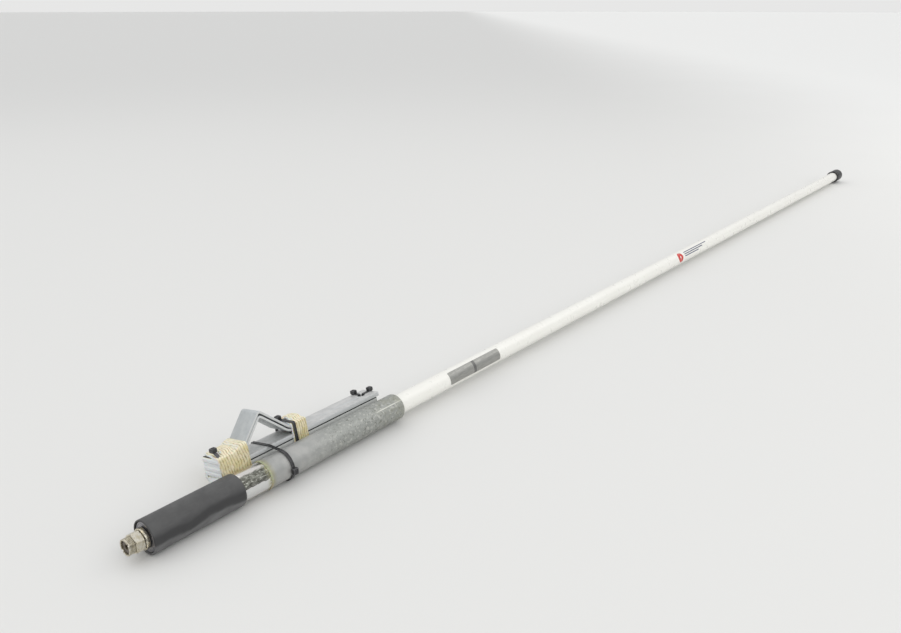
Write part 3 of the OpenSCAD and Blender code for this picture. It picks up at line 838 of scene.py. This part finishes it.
def ferrule(look, sleeve_end):
    """The chromed ferrule, with a fine groove where the sleeve ends and a neck inside the mounting tube."""
    x0, x1, r = turned_size("ferrule_tube")
    shoulder, neck, bore = 149.0, 13.4, 11.75
    bore_start = 135
    outline = softened([
        (x0, neck, 0), (x0, r, 0.3), (sleeve_end + 0.5, r, 0.1), (sleeve_end + 0.8, r - 0.2, 0.1),
        (sleeve_end + 1.1, r, 0.1), (shoulder, r, 0.5), (shoulder, neck, 0), (x1, neck, 0.3), (x1, bore, 0),
        (bore_start, bore, 0), (bore_start, neck, 0)])

    def dents(x, a, radius):
        return 0.05 * lumps(*round_axis(x * 0.5, a, radius), 5) if radius == r else 0

    piece("chromed_ferrule", turned(refined(outline, 2.5), 160, dents), look, "pole", ["ferrule_tube"])


def grip_sleeve(look):
    """The black sleeve: soft rounded ends, a faint moulding line and slightly uneven walls."""
    x0, x1, r = turned_size("black_sleeve")
    bore = 15.05
    outline = softened([(x0, bore + 0.5, 0.2), (x0, r - 0.1, 1.3), (x1, r - 0.1, 2.0), (x1, bore, 0.4),
                        (x0 + 1, bore, 0.2)], 6)

    def soft(x, a, radius):
        if radius < bore + 0.6:
            return 0
        seam = 0.1 * max(0, 1 - abs(math.sin((a - math.radians(28)) / 2)) * 60)
        slump = 0.16 * lumps(*round_axis(x * 0.35, a, radius), 14)
        return min(0.1, seam + slump - 0.05)

    piece("grip_sleeve", turned(refined(outline, 1.5), 160, soft), look, "base_sleeve", ["black_sleeve"])


def sealant_bead(look):
    """The bead of sealant between ferrule and mounting tube, squeezed out unevenly."""
    x0, x1, r = turned_size("sealant_ring")
    outline = softened([(x0, 13.5, 0), (x0 - 0.25, r - 0.5, 0.15), (x0 + 0.1, r, 0.4), (x1 - 0.1, r, 0.4),
                        (x1 + 0.25, r - 0.5, 0.15), (x1, 13.5, 0)])

    def squeezed(x, a, radius):
        if radius < 14:
            return 0
        return 0.1 + 0.32 * lumps(*round_axis(x, a, radius), 2.2)

    piece("sealant_bead", turned(refined(outline, 0.4), 200, squeezed), look, "pole", ["sealant_ring"])


# ---------- tubes ----------


def mount_tube(look):
    """The grey mounting tube: clean at the base, its film ever more crinkled towards the rounded far lip."""
    x0, x1, r = turned_size("mount_tube")
    bore = 13.5
    outline = softened([(x0, bore, 0), (x0, r, 0.4), (x1, r, 1.9), (x1, bore, 0.3)], 6)
    film_ridge_angle = math.radians(FILM_RIDGE_ANGLE)

    def crinkles(x, a, radius):
        if radius < r - 1.9:
            return 0
        y, z = round_axis(x, a, radius)[1:]
        amount = rise(x + 25 * lumps(x, y, z, 40), 200, 285) * rise(x, x1, x1 - 6)
        folds = abs(lumps(x, y, z, 2.6)) + 0.6 * abs(lumps(x + 50, y, z, 1.3))
        # The raised edge of the film. The material paints a highlight along it.
        film_ridge = math.exp(-((((a - film_ridge_angle) * radius) / 0.45) ** 2))
        film_ridge *= rise(x, FILM_RIDGE_START, FILM_RIDGE_START + 6) * rise(x, x1 - 1, x1 - 5)
        return amount * (0.02 - 0.28 * folds) + 0.22 * film_ridge

    shape = turned(refined(outline, 0.9), 200, crinkles)
    piece("mounting_tube", shape, look, "pole", ["mount_tube"], sharp=60)


def radome(look):
    x0, x1, r = turned_size("radome_tube")
    bore = 9.9
    outline = softened([(x0, bore, 0), (x0, r, 0.4), (x1, r, 0.4), (x1, bore, 0)])
    piece("white_radome", turned(refined(outline, 12), 128), look, "pole", ["radome_tube"], sharp=60)


def rating_plate(look):
    """The blank rating plate, with round corners and a pressed border."""
    low, high = box_mm("rating_plate")
    r = turned_size("radome_tube")[2]

    def pressed(u, v):
        edge = min(u * 107, (1 - u) * 107, v * 33, (1 - v) * 33)
        return -0.07 * rise(edge, 1.6, 2.1) * rise(edge, 3.1, 2.6)

    shape = wrapped(low.x, high.x, r, 0.25, 112, 193, 2.0, pressed)
    piece("blank_rating_plate", shape, look, "pole", ["rating_plate"], sharp=50)


def printed_marks(red, dark):
    """A plain round spot and three plain stripes, laid on as thin ink."""
    r = turned_size("radome_tube")[2]
    low, high = box_mm("decal_mark")
    centre, spot = (low.x + high.x) / 2, (high.x - low.x) / 2
    middle = 150.0  # degrees round the axis
    rows = []
    for level in (0.0, 0.1):
        for share in (1.0, 0.99, 0.66, 0.33):
            ring = []
            for k in range(64):
                x = centre + spot * share * math.cos(TAU * k / 64)
                a = math.radians(middle) + spot * share * math.sin(TAU * k / 64) / r
                ring.append(round_axis(x, a, r + (level if share < 1 else level * 0.5)))
            rows.append(ring)
    bottom, top = rows[:4], rows[4:]
    shape = stacked(bottom[::-1] + top)
    piece("red_spot", shape, red, "pole", ["decal_mark"])
    low, high = box_mm("decal_bars")
    stripes = []
    for k in range(3):
        start = 118 + 18 * k
        stripes.append(wrapped(low.x, high.x - 20 * k, r, 0.1, start, start + 8, 0.6))
    piece("plain_stripes", joined(*stripes), dark, "pole", ["decal_bars"])


def end_cap(look):
    """The push-on cap: a rounded end, a bead round its open rim and fine grip lines behind the bead."""
    x0, x1, r = turned_size("end_cap")
    bore, floor_x = 11.75, 2137.05
    rim = [(x0, bore, 0.2), (x0, r, 0.6), (x0 + 3, r, 0.4), (x0 + 3.6, r - 0.35, 0.2)]
    lines = []
    for k in range(6):
        x = x0 + 5 + 2 * k
        lines += [(x, r - 0.35, 0.2), (x + 0.5, r - 0.1, 0.2), (x + 1, r - 0.35, 0.2)]
    dome = [(x1 - 6, r - 0.1, 1), (x1 - 2, r - 1.3, 1.6), (x1, r - 6, 2.5), (x1, 0, 0), (floor_x, 0, 0),
            (floor_x, bore, 0)]
    piece("tip_cap", turned(softened(rim + lines + dome), 96), look, "cap", ["end_cap"])


# ---------- bracket kit ----------


def wound_end(x, across, up, seed):
    """Crumpled tape stretched over the ends of the arms and the strap foot, which show through as ridges."""
    ny, nz = 54, 40
    rings = []
    for j in range(nz + 1):
        z = up[0] + (up[1] - up[0]) * j / nz
        ridge = max(rise(abs(z - up[0] - at), 2.6, 1.2) for at in (2.8, 8.2, 16.8))
        ring = []
        for i in range(ny + 1):
            y = across[0] + (across[1] - across[0]) * i / ny
            crumple = 0.4 * abs(lumps(y, z + seed, 0, 4)) + 0.2 * lumps(y + seed, z, 0, 1.8)
            ring.append((x + 1.0 - 0.9 * ridge + crumple, y, z))
        rings.append(ring + [(x + 1.9, p[1], z) for p in ring[::-1]])
    return stacked(rings)


def tape_block(name, node, look, top, leg_span, skew, slope, climb, seed, wrapped_end=False):
    """Tape wound round the arms and strap feet, over the wrap round the bolt's lower end, drawn level.
    top is its height over the strap feet. leg_span is where the lower wrap starts and ends. skew is how far
    the start runs off along the far side, slope leans the turns over, and climb(x, y) raises the top where
    the tape runs over something. wrapped_end closes the block over the arms' ends."""
    low, high = level_box(node)
    arm_low, arm_high = level_box("arm_lower")
    strap_top = level_box("clamp_bolts")[1].z - BOLT_HEAD
    y0, y1, z1 = low.y, high.y, strap_top + top
    middle = (arm_low.y + arm_high.y) / 2
    centre = Vector((middle, (arm_low.z + strap_top) / 2))
    skirt = arm_low.z - 2
    lean = math.radians(KIT_LEAN)
    count = 330
    gap = 0.1
    hollow = (arm_low.y - gap, arm_high.y + gap, arm_low.z - gap, strap_top + gap)

    def floor_at(y):
        return (cad_low.z / MM + y * math.sin(lean)) / math.cos(lean)

    def section(x):
        """The outline at x; the lower wrap only hangs below the block along its own span."""
        deep = rise(x, leg_span[0] - 0.1, leg_span[0] + 0.3) * rise(x, leg_span[1] + 0.1, leg_span[1] - 0.3)
        left, right = middle - 8.4, middle + 8.4
        foot = 1.4 * deep
        near_z = skirt + (floor_at(left) - skirt) * deep
        far_z = skirt + (floor_at(right) - skirt) * deep
        return evenly(softened([
            (y0, z1, 2.4), (y0, skirt, 2.6), (left, skirt, 0.6 + 0.5 * deep), (left + foot, near_z, foot),
            (right - foot, far_z, foot), (right, skirt, 0.6 + 0.5 * deep), (y1, skirt, 1.6),
            (y1, z1, 2.2)], 6), count)

    def wound(x, y, z):
        """Height of the top layer of tape, and how deep in a step between two turns this spot lies."""
        drift = slope * (z - centre.y)
        drift += 2.2 * lumps(x * 0.4, y, z + seed, 11) + 0.7 * lumps(x, y + seed, z, 4.5)
        share = ((x + drift + 50) / 2.9) % 1
        layer = 0.5 * share**0.55 - 0.32
        step = math.exp(-((min(share, 1 - share) / 0.21) ** 2))
        cross = ((x - 1.3 * (z - centre.y) - drift + 80) / 3.4) % 1
        patch = rise(lumps(x, y, z + seed + 30, 9), 0.0, 0.25)
        layer += 0.2 * patch * (cross**0.6 - 0.5)
        step = max(step, 0.4 * patch * math.exp(-((min(cross, 1 - cross) / 0.14) ** 2)))
        return layer, step * (0.7 + 0.3 * rise(lumps(x, y, z + seed, 5), -0.4, 0.3))

    def run_off(x, y):
        """How far a point moves along the antenna because the start of the wrap is skewed."""
        return skew * (y - y0) / (y1 - y0) * (high.x - x) / (high.x - low.x)

    steps_along = []

    def surface(x, points):
        ring = []
        for k, p in enumerate(points):
            along = points[(k + 1) % count] - points[k - 1]
            out = Vector((along.y, -along.x)).normalized()
            if out.dot(p - centre) < 0 and abs(p.x - centre.x) > 9:
                out = -out
            y, z = p.x, p.y
            layer, step = wound(x, y, z)
            bulge = 0.5 * lumps(x, y + seed, z, 8) + 0.2 * lumps(x, y, z + seed, 2.6)
            end = min(rise(x, low.x - 0.2, low.x + 1.3), rise(x, high.x + 0.2, high.x - 1.3))
            offset = (layer + bulge) * (0.25 + 0.75 * end) - 0.7 * (1 - end)
            if z < skirt or y > y1 - 0.5:
                offset = min(offset, 0.15)
            q = p + out * offset
            share = max(0.0, min(1.0, (z - strap_top) / (z1 - strap_top)))
            q.y += share * climb(x, y)
            if q.length < CLEAR_OF_SLEEVE:
                q = q.normalized() * CLEAR_OF_SLEEVE
            steps_along.append(step)
            ring.append((x + run_off(x, q.x) * rise(z, skirt, centre.y), q.x, max(q.y, floor_at(q.x))))
        return ring

    def inner(x, points):
        ring = []
        for p in points:
            ray = p - centre
            reach = min(
                (hollow[1] - centre.x) / ray.x if ray.x > 1e-6 else 1e9,
                (hollow[0] - centre.x) / ray.x if ray.x < -1e-6 else 1e9,
                (hollow[3] - centre.y) / ray.y if ray.y > 1e-6 else 1e9,
                (hollow[2] - centre.y) / ray.y if ray.y < -1e-6 else 1e9)
            q = centre + ray * reach
            steps_along.append(0.3)
            ring.append((x + run_off(x, q.x), q.x, q.y))
        return ring

    steps = round((high.x - low.x) / 0.3)
    stations = [low.x + (high.x - low.x) * k / steps for k in range(steps + 1)]
    outlines = [section(x) for x in stations]
    rings = [surface(x, points) for x, points in zip(stations, outlines)]
    rings.append(inner(stations[-1], outlines[-1]))
    rings.append(inner(stations[0], outlines[0]))
    shape = rings_shape(rings, closed=True)
    if wrapped_end:
        across, up = (arm_low.y - 0.4, arm_high.y + 0.4), (arm_low.z - 0.4, strap_top + 0.4)
        end = wound_end(low.x + 0.4, across, up, seed)
        steps_along += [0.0] * len(end[0])
        shape = joined(shape, end)
    obj = piece(name, leant(shape), look, "bracket_kit", [node], sharp=70)
    if len(obj.data.vertices) == len(steps_along):
        obj.data.attributes.new("step", "FLOAT", "POINT").data.foreach_set("value", steps_along)
    else:
        raise SystemExit("the tape's points were merged, so its steps don't line up")


def across_x(x):
    """Places (y, z) sections across the antenna at x."""
    return lambda u, v, w: (x + w, u, v)


def across_y(y):
    """Places (x, z) sections along the antenna at y."""
    return lambda u, v, w: (u, y + w, v)


CLEAR_OF_SLEEVE = 17.35  # distance from the antenna's axis that leaves the sliding sleeve free
BOLT_HEAD = 5.32  # height of a bolt's head over the strap feet
LEFT_TOP = 2.9  # height of a taped block's top over the strap feet
RIGHT_TOP = 3.6
CORNER = 0.15  # radius of a strap's bend round a sharp steel corner


def corner_wheels(u0, v0, u1, v1):
    """Wheels at the corners of a block, anticlockwise."""
    c = CORNER - 0.05
    spots = [(u0 + c, v0 + c), (u1 - c, v0 + c), (u1 - c, v1 - c), (u0 + c, v1 - c)]
    return [(u, v, CORNER) for u, v in spots]


def cable_ties(look):
    """The five cable ties."""
    lower_low, lower_high = level_box("arm_lower")
    upper_low, upper_high = level_box("arm_upper")
    near, far = lower_low.y, lower_high.y
    bottom, top = lower_low.z, upper_high.z
    middle = (near + far) / 2
    foot = level_box("clamp_bolts")[1].z - BOLT_HEAD
    lean = math.radians(KIT_LEAN)

    def tie(name, node, *shapes):
        piece(name, leant(joined(*shapes)), look, "bracket_kit", [node], sharp=45)

    low, high = box_mm("tie_pole")
    x = (low.x + high.x) / 2
    tube = turned_size("mount_tube")[2] + 0.65
    wheels = [(0, 0, tube)]
    for y, z, r in corner_wheels(near, bottom, far, top)[1:]:
        wheels.append((y * math.cos(lean) + z * math.sin(lean), z * math.cos(lean) - y * math.sin(lean), r))
    strap = strap_loop(wheels, across_x(x))
    head = moved(tie_head(6.4, 7.0, 4.4), (x, -tube - 0.3, -0.1), [(90, "X")])
    piece("pole_tie", joined(strap, head), look, "pole", ["tie_pole"], sharp=45)

    x = level_box("tie_left")[0].x + TIE_WIDTH / 2
    strap = strap_loop(corner_wheels(near, bottom, far, foot), across_x(x))
    climb = stacked([[(p.x, p.y, z) for p in round_box(TIE_WIDTH, 1.2, 0.3)] for z in (0.0, 12.2)])
    climb = moved(climb, (x, near - 0.5, foot + 0.6), [(-55, "X")])
    head = moved(tie_head(6.4, 6.0, 4.4), (x, near + 9.7, foot + 6.8))
    tie("left_tie", "tie_left", strap, climb, head)

    x = level_box("tie_right")[1].x - TIE_WIDTH / 2
    skirt, over = bottom - 2, foot + RIGHT_TOP
    wheels = [(near, skirt + 2, 2.1), (far + 0.7, skirt + 1.45, 1.5), (far + 0.3, over - 1.7, 1.85),
              (near - 0.5, over - 1.55, 1.65)]
    head = moved(tie_head(5.8, 6.0, 4.6), (x - 1.0, near + 22, over + 0.4))
    tie("right_tie", "tie_right", strap_loop(wheels, across_x(x)), head)

    low, high = level_box("tie_end_side")
    x = (low.x + high.x) / 2
    wheels = corner_wheels(middle + 4.05, bottom, far, top)
    head = moved(tie_head(6.2, 6.0, 4.4), (x, far - 1.6, top + 0.6))
    tie("end_tie_side", "tie_end_side", strap_loop(wheels, across_x(x)), head)

    c = CORNER - 0.05
    hole_side = x + 4
    spots = [(hole_side + c, bottom + c), (lower_high.x - c, bottom + c), (upper_high.x - c, upper_low.z + c),
             (upper_high.x - c, top - c), (hole_side + c, top - c)]
    strap = strap_loop([(u, v, CORNER) for u, v in spots], across_y(middle))
    head = moved(tie_head(6.2, 6.0, 4.4), (upper_high.x - 1.3, middle, top + 0.6))
    tie("end_tie_tip", "tie_end_tip", strap, head)


# ---------- building ----------

nickel_look = nickel()
socket_shell(nickel_look)
lock_nut(nickel_look)
flange_washer(nickel_with_rim_highlight())
base_plug(plug_chrome())
sleeve_end = turned_size("black_sleeve")[1]
ferrule(chrome(turned_size("sealant_ring")[0]), sleeve_end)
grip_sleeve(sleeve_black())
sealant_bead(sealant())
mount_tube(mount_grey(*turned_size("mount_tube")[:2]))
radome(radome_white())
plate_low, plate_high = box_mm("rating_plate")
rating_plate(plate_silver(plate_low.x, plate_high.x))
printed_marks(ink("decal_red", (0.62, 0.03, 0.02), 0.5), ink("decal_dark", (0.05, 0.07, 0.14), 0.5))
end_cap(moulded("cap_black", (0.014, 0.014, 0.014), (0.028, 0.028, 0.028), 0.42))

# The third colour of each zinc look is painted light and shade for its near side. The lower arm's look is a
# lighter copy of the same steel, with painted shade on its top.
arm_look = zinc("zinc_arm", (0.50, 0.505, 0.50), (0.60, 0.60, 0.59), (0.62, 0.635, 0.635), 0.25)
low_arm_look = zinc(
    "zinc_arm_low", (0.60, 0.605, 0.59), (0.68, 0.68, 0.66), (0.60, 0.61, 0.59), 0.2, painted_dark_top=True)
strap_look = zinc("zinc_strap", (0.44, 0.465, 0.47), (0.52, 0.54, 0.54), (0.60, 0.61, 0.60), 0.25)
bolt_look = zinc("zinc_bolt", (0.42, 0.43, 0.43), (0.52, 0.53, 0.53), (0.40, 0.41, 0.41), 0.8)
STEEL_PIECES = [
    ("top_arm", "arm_upper", arm_look, 1.1),
    ("bottom_arm", "arm_lower", low_arm_look, 1.1),
    ("outer_vee_strap", "v_strap_outer", strap_look, 0.4),
    ("inner_vee_strap", "v_strap_inner", strap_look, 0.4),
    ("bolts", "clamp_bolts", bolt_look, 0.2),
    ("bolt_nuts", "clamp_nuts", bolt_look, 0.2),
    ("bolt_washers", "clamp_washers", bolt_look, 0.15),
]
for steel_piece in STEEL_PIECES:
    bevelled(*steel_piece)

left_span = box_mm("tape_left")
right_span = box_mm("tape_right")
tape_look = tape("tape", (0.80, 0.74, 0.55), (0.70, 0.62, 0.34), (0.30, 0.22, 0.08))


def over_left(x, y):
    """The left block's top goes over the bolt's head and climbs the straps' legs."""
    legs = 4.3 * rise(x, LEFT_BOLT + 2, LEFT_BOLT + 17) * rise(x, LEFT_BOLT + 21.5, LEFT_BOLT + 20)
    return max(legs, 3.2 * over_bolt(x - LEFT_BOLT, y))


def over_right(x, y):
    return 2.4 * over_bolt(x - RIGHT_BOLT, y)


def over_bolt(dx, y):
    """1 over a bolt's head and 0 away from it."""
    return rise(math.hypot(dx, y - bolt_y), 11.5, 7.2)


bolt_boxes = [level_box("clamp_bolts"), level_box("arm_lower")]
bolt_y = (bolt_boxes[0][0].y + bolt_boxes[0][1].y) / 2
LEFT_BOLT, RIGHT_BOLT = bolt_boxes[0][0].x + 6.5, bolt_boxes[0][1].x - 6.5
tape_block(
    "left_tape", "tape_left", tape_look, LEFT_TOP, (left_span[0].x, left_span[1].x), 5.0, 0.12, over_left,
    3.0, wrapped_end=True)
tape_block(
    "right_tape", "tape_right", tape_look, RIGHT_TOP, (right_span[0].x + 6, right_span[1].x), 8.0, 0.05,
    over_right, 9.0)
cable_ties(tie_black())

HIDDEN_LOOKS = {
    "connector_insulator": moulded("phenolic", (0.035, 0.028, 0.022), (0.06, 0.05, 0.04), 0.45),
    "connector_contact": bare_metal("gold", (0.16, 0.13, 0.08), (0.26, 0.22, 0.14), 0.5),
    "connector_seal": moulded("rubber_black", (0.012, 0.012, 0.012), (0.022, 0.022, 0.022), 0.6),
    "tube_bush": moulded("bush_plastic", (0.62, 0.60, 0.50), (0.70, 0.68, 0.60), 0.45),
    "tip_plug": moulded("insulator_white", (0.66, 0.63, 0.54), (0.74, 0.72, 0.64), 0.45),
    "feed_cable": moulded("cable_black", (0.014, 0.014, 0.014), (0.026, 0.026, 0.026), 0.5),
    "feed_skirt": bare_metal("brass_tube", (0.50, 0.33, 0.11), (0.66, 0.46, 0.18)),
    "phasing_coil": bare_metal("copper_wire", (0.46, 0.17, 0.07), (0.62, 0.27, 0.12), stretch=(1, 1, 1)),
    "foam_spacers": moulded("foam", (0.66, 0.63, 0.52), (0.76, 0.74, 0.64), 0.8, 0.2),
}
SHARED_LOOKS = {"feed_block": "tip_plug", "coil_former": "tip_plug", "radiator_lower": "feed_skirt",
                "radiator_upper": "feed_skirt"}
for node, like in SHARED_LOOKS.items():
    HIDDEN_LOOKS[node] = HIDDEN_LOOKS[like]
for node, look in HIDDEN_LOOKS.items():
    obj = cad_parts[node]
    obj.data.materials.clear()
    obj.data.materials.append(look)

# ---------- floor, light and camera ----------


def aim(obj, direction):
    obj.rotation_mode = "QUATERNION"
    obj.rotation_quaternion = Vector(direction).to_track_quat("-Z", "Y")


def pale_floor(z):
    bpy.ops.mesh.primitive_circle_add(vertices=96, radius=60, fill_type="TRIFAN", location=(1, 0, z))
    floor = bpy.context.object
    floor.name = "floor"
    s = Look("floor_with_painted_light")
    # Painted light: the floor is painted darker on the camera's left and brighter on its right, in soft
    # clouds, for the uneven spread of the studio light over it.
    across = s.calc("SUBTRACT", s.times(s.axis("X"), 0.63), s.times(s.axis("Y"), 0.78))
    cloudy = s.plus(across, s.times(s.noise(500, 2), 150))
    colour = s.mix(s.band(cloudy, 300, 2400), (0.722, 0.720, 0.703), (0.93, 0.93, 0.91))
    floor.data.materials.append(s.set(Base_Color=colour, Roughness=0.55, Specular_IOR_Level=0.25).material)


def soft_box(name, at, towards, size, power, colour=(1, 1, 1)):
    lamp = bpy.data.lights.new(name, "AREA")
    lamp.shape = "RECTANGLE"
    lamp.size, lamp.size_y = size
    lamp.energy = power
    lamp.color = colour
    obj = added(name, lamp)
    obj.location = at
    aim(obj, Vector(towards) - Vector(at))


def studio_sky(camera_side):
    """Bright overhead, dim at the horizon and dark behind the camera, with an even pale backdrop."""
    world = bpy.data.worlds.new("studio")
    bpy.context.scene.world = world
    world.use_nodes = True
    world.node_tree.nodes.clear()
    sky = Nodes(world.node_tree)
    way = sky.coords["Generated"]
    height = sky.node("SeparateXYZ", way).outputs["Z"]
    toward = sky.node("VectorMath", way, camera_side, operation="DOT_PRODUCT").outputs["Value"]
    path = sky.node("LightPath").outputs

    def choose(share, a, b):
        """a where share is 0 and b where it is 1."""
        mixed = sky.node("Mix", data_type="FLOAT")
        for socket, value in zip((mixed.inputs[0], mixed.inputs[2], mixed.inputs[3]), (share, a, b)):
            sky.feed(socket, value)
        return mixed.outputs[0]

    low = sky.band(toward, 0.1, 0.75, SKY_SIDE, SKY_BEHIND)
    mirrored = choose(sky.band(height, 0.28, 0.62), low, SKY_TOP)
    even = sky.band(height, -0.1, 0.7, FILL_SIDE, FILL_TOP)
    lit = sky.node("Background", (0.985, 0.99, 1.0), choose(path["Is Glossy Ray"], even, mirrored))
    seen = sky.node("Background", BACKDROP)
    both = sky.node("MixShader", path["Is Camera Ray"], lit.outputs[0], seen.outputs[0])
    sky.node("OutputWorld", both.outputs[0])


# Sky brightness seen in reflections
SKY_TOP = 1.0
SKY_SIDE = 0.55
SKY_BEHIND = 0.08
# Sky brightness that lights matte surfaces
FILL_TOP = 0.95
FILL_SIDE = 0.88
BACKDROP = (0.80, 0.80, 0.795)

CAMERA_AT = Vector((-0.291, -0.592, 0.437))
CAMERA_WAY = Vector((0.7302, 0.5855, -0.3518))
LENS = 33.16  # millimetres, for the 36 mm wide sensor

camera = added("camera", bpy.data.cameras.new("camera"))
camera.location = CAMERA_AT
aim(camera, CAMERA_WAY)
camera.data.lens = LENS
camera.data.sensor_width = 36
camera.data.clip_start = 0.01
camera.data.clip_end = 200
bpy.context.scene.camera = camera
bpy.context.scene.view_settings.view_transform = "Standard"

pale_floor(cad_low.z)
studio_sky((-0.78, -0.6256, 0.0))
soft_box("key", (0.2, 1.9, 2.4), (0.4, 0, 0), (3.0, 2.2), 8)
soft_box("near_fill", (0.3, -2.4, 1.7), (0.9, 0, 0), (3.2, 1.6), 16)
soft_box("far_fill", (2.6, -0.9, 1.8), (1.9, -0.2, 0), (1.4, 1.4), 6, (1, 0.98, 0.94))
